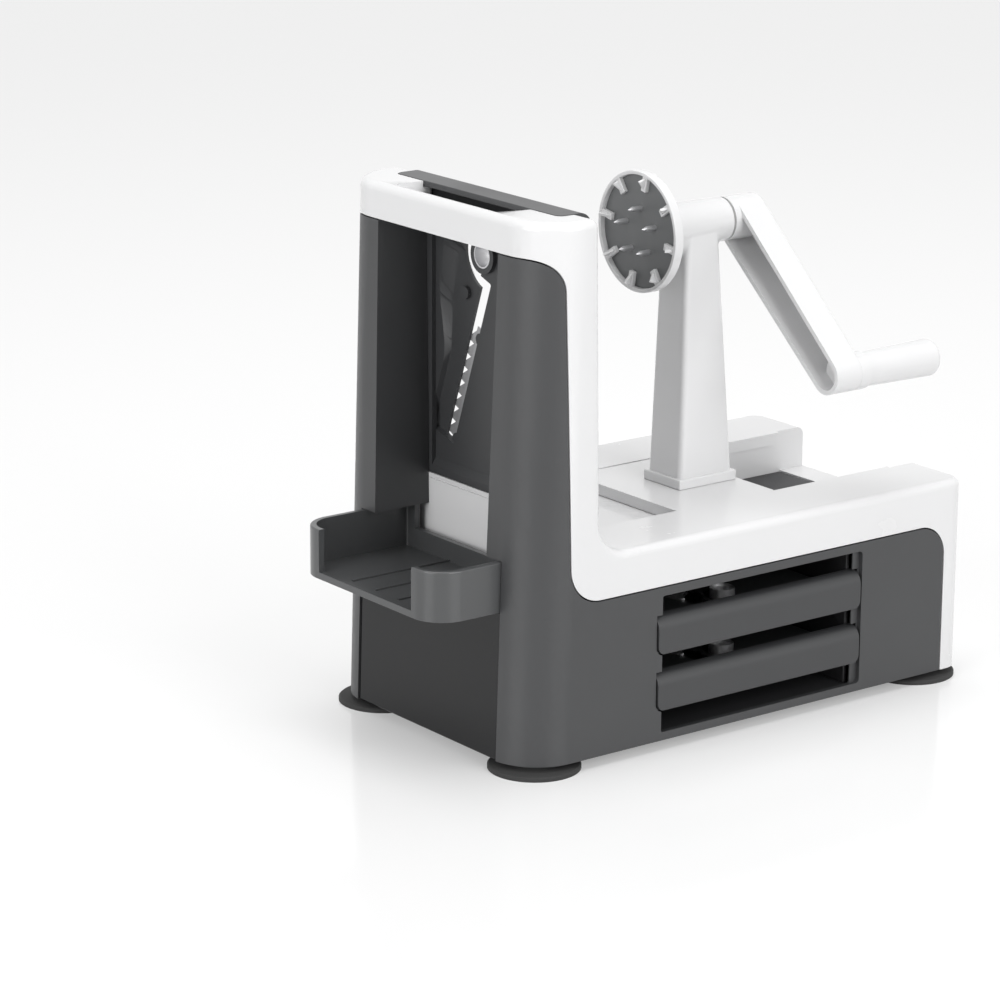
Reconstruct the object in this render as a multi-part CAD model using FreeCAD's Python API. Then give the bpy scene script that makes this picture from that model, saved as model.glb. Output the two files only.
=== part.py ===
import FreeCAD, Part
import math
import os

# Hand cranked spiralizer: a white portal frame on a long base, grey side housings,
# three interchangeable blade cartridges, a sliding carriage with a crank and a catch tray.
#
# Working frame while modelling, in millimetres:
# X runs from the exit face (0) to the rear, Y from the near side (negative) to the far side
# with 0 on the middle plane, Z up from the body's underside. The last step moves every piece
# so that the origin lies on the table, midway along and across the body.

V = FreeCAD.Vector
os.makedirs("parts", exist_ok=True)

# Body
body_length = 268.0
body_width = 155.0
portal_height = 250.0
base_height = 95.5
skin = 3.0
exit_lean = 0.030            # mm towards the rear for each mm up, exit face
exit_corner_radius = 25.0
rear_corner_radius = 9.0
top_edge_radius = 4.0
seam = 0.7                   # open line between white frame and grey housings
seat_gap = 0.3               # play where one piece rests on another
portal_depth_top = 39.7
portal_depth_base = 42.6
portal_heel_radius = 15.0    # hollow corner between portal and base top

# White bands round the grey side housings
cap_height = 17.0
band_top_x = 21.4
band_heel_x = 24.9
band_under_z = base_height - 21.4
band_rear_width = 14.0
grey_head_radius = 14.0
grey_heel_radius = 17.5
grey_tail_radius = 15.0

# Portal opening and tray
opening_half_top = 45.9
opening_half_foot = 43.5
column_wall = 2.5
column_depth = 34.1          # exit face foot to the back of the columns
tray_half_width = 54.3
tray_reach = 34.0
tray_top = base_height - 1.6
tray_under = tray_top - 23.6
tray_floor = 2.4
tray_wall = 3.0
tray_mouth_half = 36.5
tray_corner_radius = 15.5
tray_inside = 30.0
tray_play = 0.4
panel_set_back = 0.8

# Channel for the carriage
channel_floor_z = base_height - 20.5
channel_half = 42.2
lip_half = 40.2
lip_thickness = 6.0
lip_end_x = body_length - 18.0
deck_half = 36.0
deck_top_z = base_height - 6.0
deck_end_x = 182.0
window_x = (body_length - 56.0, body_length - 15.2)
window_cover_gap = 0.5

# Blade cartridges
plate_thickness = 3.5
plate_half = 55.0
plate_back_x = 37.9
plate_foot_z = base_height + 14.0
grip_half = 62.0
grip_front_x = 28.2
grip_reach = 18.3
grip_thickness = 2.8
grip_lip_radius = 6.5
grip_lip_drop = 6.8
grip_top_z = portal_height + 0.2
ramp_drop = 5.4              # how deep the finger ramp is at the grip's front edge
ramp_end = 39.5
ramp_near = -42.0
guide_play = 0.3
rear_window_half = 49.5
rib_half = 40.5
rib_proud = 2.2
blade_angle = 19.3           # from straight down, towards the far side
blade_steel = 0.8
blade_width = 13.0
blade_edge = 2.4             # the ground edge, to the far side of the comb
recess_depth = 2.2           # exit side of the plate, beside the blade
blade_start = 11.0
blade_end = 97.0
comb_tooth_pitch = 7.1
comb_gap_share = 0.76        # open part of each pitch
comb_gap_depth = 4.2
comb_root = -2.0
comb_back = -11.5
comb_start = 37.0
corer_radius = 6.0
corer_wall = 0.8
corer_reach = 5.0
corer_way_radius = 18.0
blade_screw_radius = 2.2

# Storage
slot_x = (78.5, 197.0)
slot_z = (4.0, base_height - 25.5)
store_tops = (base_height - 35.2, base_height - 62.5)
notch_play = 0.6
notch_depth = 2.3
slot_step_x = 4.3            # width of the step along the opening's rear edge
store_far_room = 15.3        # from a stored plate's foot to the far side
rack_wall = 2.0

# Carriage
sled_x = (117.0, 178.0)
sled_plate = 5.4
sled_play = 0.3
runner_width = 3.2
runner_foot_z = channel_floor_z + 1.0
hook_z = (base_height - 13.5, base_height - 6.7)
hook_reach = 1.7
tower_foot = (141.5, 174.7, 12.6)
tower_head = (145.6, 165.0, 10.2)
crank_z = 221.2
hub_radius = 10.6
hub_x = (131.5, 174.0)
tower_fillet = 5.0
bushing_radius = 7.0
bushing_flange = 8.6
bushing_flange_thick = 1.2
shaft_radius = 4.0
running_play = 0.05

# Food holder
wheel_radius = 29.0
wheel_front_x = 122.6
wheel_depth = 5.0
wheel_rim = 1.9
holder_disc_thick = 2.4
rib_count = 8
rib_first_angle = 34.0
rib_width = 3.4
rib_inner_radius = 20.0
spike_length = 8.0
spike_radius = 1.3
spike_circle = 11.0
spike_count = 5

# Crank and handle
arm_length = 95.9
arm_angle = 41.5             # below level, towards the near side
arm_front_x = 179.0
arm_rear_x = 197.0
arm_hub_radius = 10.5
arm_boss_radius = 9.0
arm_wall = 2.2
arm_web = 2.6
arm_boss_rear_x = 200.8
arm_boss_depth = 9.0         # from the arm's open side to the face of the handle boss
handle_seat_depth = 2.5      # of the screw's recess in that face
handle_screw_radius = 3.1
handle_end_x = 246.0
handle_root_radius = 8.2
handle_end_radius = 9.0
handle_round = 3.0
handle_pin_radius = 3.0
handle_pin_flange = 5.4
handle_cap_depth = 5.0
handle_cap_radius = 6.4

# Feet
foot_height = 5.1
foot_radius = 21.6
foot_neck_radius = 12.0
foot_inset_exit = 18.6
foot_inset_rear = 16.5
foot_inset_side = 18.0
stud_radius = 3.0
case_screw_x = (66.0, 214.0)
case_screw_inset = 9.0
case_screw_radius = 1.8
case_boss_radius = 4.6

half_width = body_width / 2.0
cap_under_z = portal_height - cap_height
plate_front_x = plate_back_x - plate_thickness
guide_front_x = plate_front_x - guide_play
guide_back_x = plate_back_x + guide_play
store_mid_x = (slot_x[0] + slot_x[1]) / 2.0
grip_back_x = grip_front_x + grip_reach
store_length = grip_top_z - plate_foot_z
grip_proud = store_length - (body_width - store_far_room)
handle_seat_x = arm_front_x + arm_boss_depth + handle_seat_depth


def shift(shape, x=0.0, y=0.0, z=0.0):
    moved = shape.copy()
    moved.translate(V(x, y, z))
    return moved


def box(x0, x1, y0, y1, z0, z1):
    return Part.makeBox(x1 - x0, y1 - y0, z1 - z0, V(x0, y0, z0))


def rod(radius, x0, x1, y=0.0, z=0.0):
    """A round bar along X."""
    return Part.makeCylinder(radius, x1 - x0, V(x0, y, z), V(1, 0, 0))


def post(radius, z0, z1, x, y):
    return Part.makeCylinder(radius, z1 - z0, V(x, y, z0))


def both_sides(shape):
    return shape.fuse(shape.mirror(V(0, 0, 0), V(0, 1, 0)))


def rounded_wire(corners):
    """A closed wire through corners, each a point and the radius that rounds it."""
    edges = []
    count = len(corners)
    starts = []
    ends = []
    arcs = []
    for i in range(count):
        here, radius = corners[i]
        back = (corners[i - 1][0] - here).normalize()
        ahead = (corners[(i + 1) % count][0] - here).normalize()
        if radius <= 0:
            starts.append(here)
            ends.append(here)
            arcs.append(None)
            continue
        half = back.getAngle(ahead) / 2.0
        along = radius / math.tan(half)
        middle = (back + ahead).normalize()
        centre = here + middle * (radius / math.sin(half))
        starts.append(here + back * along)
        ends.append(here + ahead * along)
        arcs.append(centre - middle * radius)
    for i in range(count):
        if arcs[i] is not None:
            edges.append(Part.Arc(starts[i], arcs[i], ends[i]).toShape())
        following = starts[(i + 1) % count]
        if ends[i].distanceToPoint(following) > 1e-6:
            edges.append(Part.LineSegment(ends[i], following).toShape())
    return Part.Wire(edges)


def side_plate(corners, y0, y1):
    """A prism across Y whose outline is given as (x, z, radius)."""
    wire = rounded_wire([(V(x, y0, z), r) for x, z, r in corners])
    return Part.Face(wire).extrude(V(0, y1 - y0, 0))


def front_plate(corners, x0, x1):
    """A prism along X whose outline is given as (y, z, radius)."""
    wire = rounded_wire([(V(x0, y, z), r) for y, z, r in corners])
    return Part.Face(wire).extrude(V(x1 - x0, 0, 0))


def top_plate(corners, z0, z1):
    """A prism along Z whose outline is given as (x, y, radius)."""
    wire = rounded_wire([(V(x, y, z0), r) for x, y, r in corners])
    return Part.Face(wire).extrude(V(0, 0, z1 - z0))


def plan_wire(z, inset):
    front = exit_lean * z + inset
    back = body_length - inset
    side = half_width - inset
    exit_r = exit_corner_radius - inset
    rear_r = rear_corner_radius - inset
    return rounded_wire([(V(front, -side, z), exit_r), (V(back, -side, z), rear_r),
                         (V(back, side, z), rear_r), (V(front, side, z), exit_r)])


def body_form(inset, under=0.0):
    """The whole outside of the body, moved inwards by inset and lengthened downwards by under."""
    top = portal_height - inset
    tall = Part.makeLoft([plan_wire(-under, inset), plan_wire(top, inset)], True, True)
    deck = base_height - inset
    far = half_width + 10.0
    heel = portal_heel_radius + inset
    back = body_length + 10.0
    side = side_plate([(-20.0, -under, 0), (back, -under, 0), (back, deck, 0),
                       (portal_depth_base - inset, deck, heel),
                       (portal_depth_top - inset, top, 0), (-20.0, top, 0)], -far, far)
    return tall.common(side)


def grey_zone(grow):
    """Side outline of the grey housings, grown by a margin, right through the body."""
    far = half_width + 10.0
    tail = body_length - band_rear_width + grow
    top = cap_under_z + grow
    under = band_under_z + grow
    return side_plate([(-60.0, -20.0, 0), (tail, -20.0, 0), (tail, under, grey_tail_radius + grow),
                       (band_heel_x + grow, under, grey_heel_radius - grow),
                       (band_top_x + grow, top, grey_head_radius + grow), (-60.0, top, 0)],
                      -far, far)


def opening_half(z):
    rise = (z - tray_top) / (cap_under_z - tray_top)
    return opening_half_foot + (opening_half_top - opening_half_foot) * rise


def opening_prism(grow, z0, z1, x0, x1):
    low = opening_half(z0) + grow
    high = opening_half(z1) + grow
    return front_plate([(-low, z0, 0), (low, z0, 0), (high, z1, 0), (-high, z1, 0)], x0, x1)


def soften(shape, radius, chosen):
    """Rounds the edges of shape that the test called chosen picks by their middle and box."""
    picked = [e for e in shape.Edges if chosen(e.CenterOfMass, e.BoundBox)]
    return shape.makeFillet(radius, picked)


def outer_form():
    form = body_form(0.0)
    cap = portal_height - 0.01
    form = soften(form, top_edge_radius,
                  lambda mid, bound: bound.ZMin > cap and mid.x < portal_depth_top - 0.1)
    return soften(form, top_edge_radius,
                  lambda mid, bound: abs(bound.ZMin - base_height) < 0.01
                  and abs(bound.ZMax - base_height) < 0.01
                  and (abs(mid.y) > half_width - 6.0 or mid.x > body_length - 6.0))


body_outer = outer_form()
body_inner = body_form(skin, under=5.0)
body_skin = body_outer.cut(body_inner)


# White frame shell

def cap_core():
    """The cap's solid middle, which holds the cartridge slot and the finger pocket."""
    block = box(0.0, portal_depth_top, -grip_half - 6.0, grip_half + 6.0,
                cap_under_z, portal_height)
    return body_outer.common(block)


def cap_cuts():
    slot = box(guide_front_x, guide_back_x, -plate_half - guide_play, plate_half + guide_play,
               plate_foot_z - seat_gap, portal_height + 5.0)
    rib_way = box(guide_front_x - rib_proud, guide_back_x, -rib_half - guide_play - 0.5,
                  rib_half + guide_play + 0.5, plate_foot_z, portal_height + 5.0)
    behind = box(guide_back_x - 0.1, body_length, -rear_window_half, rear_window_half,
                 plate_foot_z - seat_gap, portal_height + 5.0)
    rest_x = grip_front_x - seat_gap
    rest_z = grip_top_z - grip_thickness - seat_gap
    rest_y = grip_half + seat_gap
    rest = top_plate([(rest_x, -rest_y, 4.0), (rest_x + 40.0, -rest_y, 0),
                      (rest_x + 40.0, rest_y, 0), (rest_x, rest_y, 4.0)],
                     rest_z, portal_height + 5.0)
    return slot.fuse([rib_way, behind, rest, finger_ramp()])


def finger_ramp():
    """Slopes down from the cap's exit edge to a pocket under the grip's front edge."""
    top = portal_height
    front = exit_lean * top + top_edge_radius + 0.3
    low = top - ramp_drop
    back = guide_front_x + 0.5
    wedge = side_plate([(front, top, 0), (grip_front_x, low, 0), (grip_front_x, top - 14.0, 0),
                        (back, top - 14.0, 0), (back, top + 5.0, 0), (front, top + 5.0, 0)],
                       ramp_near - 10.0, ramp_end + 10.0)
    rise = front_plate([(ramp_end, top - 15.0, 0), (ramp_end, top + 6.0, 0), (ramp_near - 5.0, top + 6.0, 0),
                        (ramp_near, top, 0), (ramp_near + 29.0, low - 0.8, 0),
                        (ramp_near + 29.0, top - 15.0, 0)], front - 5.0, back + 5.0)
    return wedge.common(rise)


def rails():
    """Channel walls, lips, running floor and raised deck between the two rails."""
    x0 = portal_depth_base - skin
    x1 = body_length - skin
    wall = box(x0, x1, channel_half, channel_half + skin, channel_floor_z - skin, base_height - skin)
    lip = side_plate([(x0, base_height - lip_thickness, 0),
                      (lip_end_x - 4.0, base_height - lip_thickness, 2.0),
                      (lip_end_x, base_height - 1.0, 0), (x0, base_height - 1.0, 0)],
                     lip_half, channel_half + 1.0)
    floor = box(x0, x1 + skin, -channel_half - skin, channel_half + skin,
                channel_floor_z - skin, channel_floor_z)
    deck = box(x0, deck_end_x, -deck_half, deck_half, channel_floor_z - skin, deck_top_z)
    hollow = box(x0 - 1.0, deck_end_x - skin, -deck_half + skin, deck_half - skin,
                 channel_floor_z - skin - 1.0, deck_top_z - skin)
    window = box(window_x[0], window_x[1], -channel_half, channel_half,
                 channel_floor_z - skin - 1.0, channel_floor_z + 1.0)
    return both_sides(wall.fuse(lip)).fuse([floor, deck]).cut(hollow.fuse(window))


def channel_cut():
    x0 = portal_depth_base - 0.4
    under_lips = box(x0, lip_end_x, -lip_half, lip_half, channel_floor_z, portal_height / 2.0)
    tail = box(lip_end_x, body_length + 5.0, -channel_half, channel_half,
               channel_floor_z, portal_height / 2.0)
    return under_lips.fuse(tail)


def sill():
    """Closes the portal under the fitted cartridge and carries its lower edge."""
    top = plate_foot_z - seat_gap
    beam = box(guide_front_x, portal_depth_base, -plate_half - 2.0, plate_half + 2.0,
               base_height - skin, top)
    wall = box(guide_front_x, guide_front_x + skin, -tray_half_width, tray_half_width,
               channel_floor_z - skin, base_height - skin + 1.0)
    groove = box(guide_front_x - 1.0, guide_front_x + 0.8, -opening_half_foot, opening_half_foot,
                 top - 2.6, top - 1.8)
    return beam.cut(groove).fuse(wall)


def base_seat():
    """Room for the base plate inside the side and rear walls."""
    return body_form(skin - 0.6, under=5.0).common(box(-5.0, body_length, -half_width, half_width,
                                                       -5.0, skin + seat_gap))


def rear_wall_ribs():
    """Two upright ribs inside the rear wall that meet the floor of the channel."""
    x1 = body_length - skin + 0.5
    rib = box(x1 - 8.0, x1, channel_half - 8.0, channel_half - 8.0 + skin,
              skin + seat_gap, channel_floor_z - 1.0)
    return both_sides(rib)


def frame_shell():
    shell = body_skin.cut(grey_zone(seam))
    shell = shell.cut(channel_cut())
    shell = shell.fuse([cap_core().cut(grey_zone(seam)), rails(), sill(), rear_wall_ribs()])
    shell = shell.cut(cap_cuts()).cut(base_seat())
    return shell.removeSplitter()


# Grey housings

def storage_opening():
    """Slot for the stored cartridges, with a shallow seat at each level for the grip's ends."""
    outside = -half_width - 5.0
    through = -half_width + 12.0
    shallow = -half_width + notch_depth
    form = side_plate([(slot_x[0], slot_z[0], 1.0), (slot_x[1], slot_z[0], 1.0),
                       (slot_x[1], slot_z[1], 1.0), (slot_x[0], slot_z[1], 1.0)], outside, through)
    left = store_mid_x - grip_half - notch_play
    right = slot_x[1] + slot_step_x
    middle = store_mid_x
    form = form.fuse(side_plate([(middle, slot_z[0], 0), (right, slot_z[0], 2.0),
                                 (right, slot_z[1], 2.0), (middle, slot_z[1], 0)], outside, shallow))
    for top in store_tops:
        low = top - grip_reach - notch_play
        high = top + notch_play
        form = form.fuse(side_plate([(left, low, 4.0), (middle, low, 0), (middle, high, 0),
                                     (left, high, 1.5)], outside, shallow))
        lip_end = store_mid_x + grip_half + notch_play
        lip_low = high - grip_lip_radius
        form = form.fuse(box(left, lip_end, outside, through, lip_low, high))
    return form


def column_inside():
    """Inner faces of the two columns, the ledge over the tray and the lower side walls."""
    ledge_z = tray_top + seat_gap
    reach = plate_half + 2.5
    upper = opening_prism(column_wall, ledge_z, cap_under_z, 0.0, column_depth)
    upper = upper.cut(opening_prism(0.0, ledge_z - 1.0, cap_under_z + 1.0, -1.0, column_depth + 1.0))
    flange = box(column_depth - skin, column_depth, -reach, reach, ledge_z, cap_under_z)
    flange = flange.cut(opening_prism(0.0, ledge_z - 1.0, cap_under_z + 1.0, 0.0, column_depth + 1.0))
    ledge = box(0.0, column_depth, -reach, reach, ledge_z, ledge_z + column_wall)
    ledge = ledge.cut(opening_prism(0.0, ledge_z - 1.0, cap_under_z, -1.0, column_depth + 1.0))
    lower_y = tray_half_width + tray_play
    nut_top = skin + 11.0
    lower = box(0.0, column_depth, lower_y, lower_y + column_wall, nut_top, ledge_z + column_wall)
    rest = box(skin + 4.0, column_depth, lower_y - 5.0, lower_y + 1.0,
               tray_under - seat_gap - column_wall, tray_under - seat_gap)
    return upper.fuse([flange, ledge, both_sides(lower.fuse(rest))]).common(body_outer)


def case_bosses(side):
    """Screw posts along one side, for the base plate."""
    y = side * (half_width - case_screw_inset)
    shapes = []
    for x in case_screw_x:
        tube = post(case_boss_radius, skin, 30.0, x, y)
        web = box(x - 1.0, x + 1.0, min(y, side * (half_width - 1.0)),
                  max(y, side * (half_width - 1.0)), skin, 30.0)
        shapes.append(tube.fuse(web).cut(post(case_screw_radius, skin - 1.0, 28.0, x, y)))
    return shapes


def side_housing(side):
    half_space = box(-60.0, body_length, 0.0, half_width + 5.0, -10.0, portal_height)
    if side < 0:
        half_space = half_space.mirror(V(0, 0, 0), V(0, 1, 0))
    face = body_skin.common(grey_zone(0.0)).common(half_space)
    ledge_z = tray_top + seat_gap
    low_half = tray_half_width + tray_play
    face = face.cut(opening_prism(0.0, ledge_z, cap_under_z + 5.0, -5.0, skin + 12.0))
    face = face.cut(box(-5.0, skin + 12.0, -low_half, low_half, -5.0, ledge_z))
    bosses = [b.common(body_outer) for b in case_bosses(side)]
    whole = face.fuse([column_inside().common(half_space)] + bosses)
    whole = whole.cut(base_seat())
    if side < 0:
        whole = whole.cut(storage_opening())
    return whole.removeSplitter()


def front_panel():
    """Glossy plate below the tray, set back a little between the column feet."""
    outside = body_form(panel_set_back, under=5.0)
    inside = body_form(panel_set_back + skin, under=5.0)
    edge = tray_half_width + tray_play - seam
    window = box(-5.0, 30.0, -edge, edge, 0.0, tray_under - seat_gap)
    return outside.cut(inside).common(window)


def base_plate():
    """Bottom cover with stud bosses, screw recesses and stiffening ribs."""
    edge = skin + seat_gap - 0.6
    plan = Part.Face(plan_wire(0.0, edge)).extrude(V(0, 0, skin))
    front_limit = skin + panel_set_back + seat_gap + 0.4
    plan = plan.common(box(front_limit, body_length, -half_width, half_width, -1.0, skin + 1.0))
    shapes = [plan]
    for x, y in foot_places():
        shapes.append(post(stud_radius + 4.0, skin - 1.0, skin + 6.0, x, y))
    for y in (-30.0, 30.0):
        shapes.append(box(foot_inset_exit, slot_x[0] - rack_wall - 2.0, y - 1.0, y + 1.0,
                          skin - 1.0, skin + 5.0))
    whole = shapes[0].fuse(shapes[1:])
    for x, y in foot_places():
        whole = whole.cut(post(stud_radius, -1.0, skin + 7.0, x, y))
    for x in case_screw_x:
        for side in (-1, 1):
            y = side * (half_width - case_screw_inset)
            whole = whole.cut(post(case_screw_radius + 0.3, -1.0, skin + 1.0, x, y))
            whole = whole.cut(post(case_screw_radius * 2.0, -1.0, 1.6, x, y))
    return whole


def case_screws():
    shapes = []
    for x in case_screw_x:
        for side in (-1, 1):
            y = side * (half_width - case_screw_inset)
            head = post(case_screw_radius * 1.9, 0.2, 1.6, x, y)
            shank = post(case_screw_radius, 1.6, 20.0, x, y)
            slot = box(x - 2.4, x + 2.4, y - 0.4, y + 0.4, 0.1, 0.9)
            shapes.append(head.fuse(shank).cut(slot))
    return Part.makeCompound(shapes)


def storage_rack():
    """Two side walls with a ledge at each level, a back stop and a top plate."""
    y0 = -half_width - grip_proud + grip_lip_drop + seat_gap
    y1 = half_width - skin - seat_gap
    z0 = skin
    z1 = channel_floor_z - skin
    left = slot_x[0] + 0.5
    right = slot_x[1] - 0.5
    walls = box(left - rack_wall, left, y0, y1, z0, z1)
    walls = walls.fuse(box(right, right + rack_wall, y0, y1, z0, z1))
    cover_end = window_x[1] + 1.0
    roof = box(left - rack_wall, cover_end, y0, y1, z1 - rack_wall, z1)
    pad_y = channel_half - window_cover_gap
    pad = box(window_x[0] + window_cover_gap, window_x[1] - window_cover_gap, -pad_y, pad_y,
              z1 - 0.5, channel_floor_z - window_cover_gap)
    rear_leg = box(cover_end - rack_wall, cover_end, -pad_y, pad_y, z0, z1)
    stop_y = plate_stop_y() + seat_gap
    stop = box(left - 1.0, right + 1.0, stop_y, stop_y + rack_wall, z0, z1)
    ledge_in = store_mid_x - plate_half + 4.0 - left
    shapes = [roof, pad, rear_leg, stop]
    for top in store_tops:
        under = top - (grip_back_x - plate_front_x) - seat_gap
        for x0, x1 in ((left - 1.0, left + ledge_in), (right - ledge_in, right + 1.0)):
            shapes.append(box(x0, x1, y0, stop_y + 1.0, under - rack_wall, under))
    return walls.fuse(shapes)


# Feet

def foot_places():
    side = half_width - foot_inset_side
    return [(x, y) for x in (foot_inset_exit, body_length - foot_inset_rear) for y in (-side, side)]


def suction_foot(x, y):
    """A rubber cup: neck, flared skirt with a thin rim and a hollow underneath."""
    r = foot_radius
    n = foot_neck_radius
    h = foot_height
    outline = [V(0, 0, -seat_gap), V(n, 0, -seat_gap), V(n, 0, -h + 3.4), V(n + 1.4, 0, -h + 2.7),
               V(r - 0.7, 0, -h + 2.2), V(r, 0, -h + 1.6), V(r, 0, -h), V(r - 1.4, 0, -h),
               V(r - 2.6, 0, -h + 0.7), V(0, 0, -h + 1.1), V(0, 0, -seat_gap)]
    cup = Part.Face(Part.makePolygon(outline)).revolve(V(0, 0, 0), V(0, 0, 1), 360)
    socket = post(stud_radius + 0.02, -h + 2.4, 1.0, 0.0, 0.0)
    return shift(cup.cut(socket), x, y)


def foot_studs():
    shapes = []
    for x, y in foot_places():
        stem = post(stud_radius, -foot_height + 2.5, skin + 8.0, x, y)
        nut = post(stud_radius + 2.2, skin + 6.0, skin + 9.0, x, y)
        shapes.append(stem.fuse(nut))
    return Part.makeCompound(shapes)


# Catch tray

def tray_outline(inset):
    """Corners of the tray's plan, moved inwards by inset."""
    side = tray_half_width - inset
    front = -tray_reach + inset
    turn = tray_corner_radius - inset
    return [(front, -side, turn), (tray_inside - inset, -side, 1.0),
            (tray_inside - inset, side, 1.0), (front, side, turn)]


def catch_tray():
    """Floor and a wall that wraps the exit corners, open at the front with a low lip."""
    tray = top_plate(tray_outline(0.0), tray_under, tray_top)
    tray = soften(tray, 0.9, lambda mid, bound: bound.ZMin > tray_top - 0.01)
    hollow = top_plate(tray_outline(tray_wall), tray_under + tray_floor, tray_top + 5.0)
    tray = tray.cut(hollow)
    mouth = box(-tray_reach - 1.0, -tray_reach + tray_corner_radius, -tray_mouth_half,
                tray_mouth_half, tray_under + tray_floor + 0.8, tray_top + 5.0)
    back = box(tray_inside - tray_wall - 1.0, tray_inside + 1.0, -tray_half_width + 9.0,
               tray_half_width - 9.0, tray_under + 12.0, tray_top + 5.0)
    tray = tray.cut(mouth.fuse(back))
    for y in (-18.0, 0.0, 18.0):
        tray = tray.fuse(box(-tray_reach + 6.0, tray_inside - tray_wall, y - 0.8, y + 0.8,
                             tray_under + tray_floor - 0.5, tray_under + tray_floor + 0.8))
    return tray.removeSplitter()


# Blade cartridges, modelled as fitted in the portal

down = V(0, math.sin(math.radians(blade_angle)), -math.cos(math.radians(blade_angle)))
across = V(0, math.cos(math.radians(blade_angle)), math.sin(math.radians(blade_angle)))
centre = V(0, 0, crank_z)


def blade_point(r, n, x):
    """A point r out from the crank axis along the blade and n to its side, at height x."""
    p = centre + down * r + across * n
    return V(x, p.y, p.z)


def blade_prism(outline, x0, x1):
    """A prism along X over an outline in the blade's own (r, n, radius)."""
    wire = rounded_wire([(blade_point(r, n, x0), radius) for r, n, radius in outline])
    return Part.Face(wire).extrude(V(x1 - x0, 0, 0))


def cartridge_window(with_comb, x0, x1):
    """The long opening beside the blade and the curved way round the corer's far side."""
    near_edge = -8.3 if with_comb else -3.0
    far_edge = blade_edge - 1.6
    straight = blade_prism([(blade_start, near_edge, 1.0), (blade_end, near_edge, 2.0),
                            (blade_end, far_edge, 1.0), (blade_start, far_edge, 0)], x0, x1)
    ring = rod(corer_way_radius, x0, x1, 0.0, crank_z)
    ring = ring.cut(rod(corer_radius + 3.0, x0 - 1.0, x1 + 1.0, 0.0, crank_z))
    sector = blade_prism([(-8.0, far_edge - 0.5, 0), (corer_way_radius + 1.0, far_edge - 0.5, 0),
                          (corer_way_radius + 1.0, corer_way_radius + 2.0, 0),
                          (-8.0, corer_way_radius + 2.0, 0)], x0 - 1.0, x1 + 1.0)
    return straight.fuse(ring.common(sector))


def cartridge_recess():
    """Shallow room on the exit side whose outer wall slopes up and widens towards the corer."""
    floor = plate_front_x + recess_depth
    rim = plate_front_x - 0.5
    wide = [(2.0, 0.0, 0), (97.5, 0.0, 0), (98.5, 12.2, 3.0), (58.0, 12.6, 30.0),
            (30.0, 30.5, 22.0), (6.0, 35.0, 4.0)]
    narrow = [(3.0, 0.0, 0), (96.5, 0.0, 0), (97.0, 10.8, 2.0), (56.0, 11.2, 26.0),
              (34.0, 17.4, 20.0), (8.0, 20.0, 3.0)]
    wires = [rounded_wire([(blade_point(r, n, x), radius) for r, n, radius in outline])
             for outline, x in ((wide, rim), (narrow, floor))]
    return Part.makeLoft(wires, True, True)


def cartridge_grip():
    """Flush tab across the top whose rear edge turns down into a lip."""
    top = grip_top_z
    under = top - grip_thickness
    inner = grip_lip_radius - grip_thickness
    profile = side_plate([(grip_front_x, top, 0.6), (grip_back_x, top, grip_lip_radius),
                          (grip_back_x, top - grip_lip_drop, 0), (grip_back_x - grip_thickness, top - grip_lip_drop, 0),
                          (grip_back_x - grip_thickness, under, inner), (grip_front_x, under, 0.6)],
                         -grip_half, grip_half)
    plan = top_plate([(grip_front_x, -grip_half, 4.0), (grip_back_x, -grip_half, 1.0),
                      (grip_back_x, grip_half, 1.0), (grip_front_x, grip_half, 4.0)],
                     top - grip_lip_drop - 1.0, top + 1.0)
    return profile.common(plan)


def cartridge_frame(with_comb):
    x0 = plate_front_x
    x1 = plate_back_x
    top = grip_top_z - 1.0
    plate = front_plate([(-plate_half, plate_foot_z, 8.0), (plate_half, plate_foot_z, 8.0),
                         (plate_half, top, 0), (-plate_half, top, 0)], x0, x1)
    body = plate.fuse(cartridge_grip()).removeSplitter()
    body = body.cut(cartridge_recess())
    rib_y = rib_half
    rib_x = x0 - rib_proud
    rib_top = cap_under_z - 3.0
    ring = front_plate([(-rib_y, plate_foot_z + 2.0, 2.0), (rib_y, plate_foot_z + 2.0, 2.0),
                        (rib_y, rib_top, 4.0), (-rib_y, rib_top, 4.0)], rib_x, x0 + 0.5)
    core = front_plate([(-rib_y + 2.0, plate_foot_z + 3.0, 1.0), (rib_y - 2.0, plate_foot_z + 3.0, 1.0),
                        (rib_y - 2.0, rib_top - 2.0, 2.0), (-rib_y + 2.0, rib_top - 2.0, 2.0)],
                       rib_x - 1.0, x0 + 0.6)
    foot_bar = side_plate([(rib_x, plate_foot_z + 0.8, 0.5), (x0 + 0.5, plate_foot_z + 0.8, 0),
                           (x0 + 0.5, plate_foot_z + 9.0, 0), (rib_x, plate_foot_z + 4.6, 0.5)],
                          -rib_y, rib_y)
    collar = rod(corer_radius + 2.6, rib_x, x1, 0.0, crank_z)
    body = body.fuse([ring.cut(core), foot_bar, collar])
    body = body.cut(rod(corer_radius, rib_x - 1.0, x1 + 1.0, 0.0, crank_z))
    body = body.cut(cartridge_window(with_comb, rib_x - 1.0, x1 + 1.0))
    for r, n in blade_screw_places(with_comb):
        p = blade_point(r, n, 0)
        body = body.fuse(rod(blade_screw_radius + 0.8, x0 + 0.3, x1, p.y, p.z))
        body = body.cut(rod(blade_screw_radius * 0.6, x0 + 0.8, x1 + 1.0, p.y, p.z))
    return body.removeSplitter()


def blade_screw_places(with_comb):
    places = [(blade_start + 14.0, 9.0), (blade_end + 5.0, 7.0)]
    if with_comb:
        places += [(comb_start + 3.0, comb_back + 2.6), (blade_end - 3.0, comb_back + 2.6)]
    return places


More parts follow.
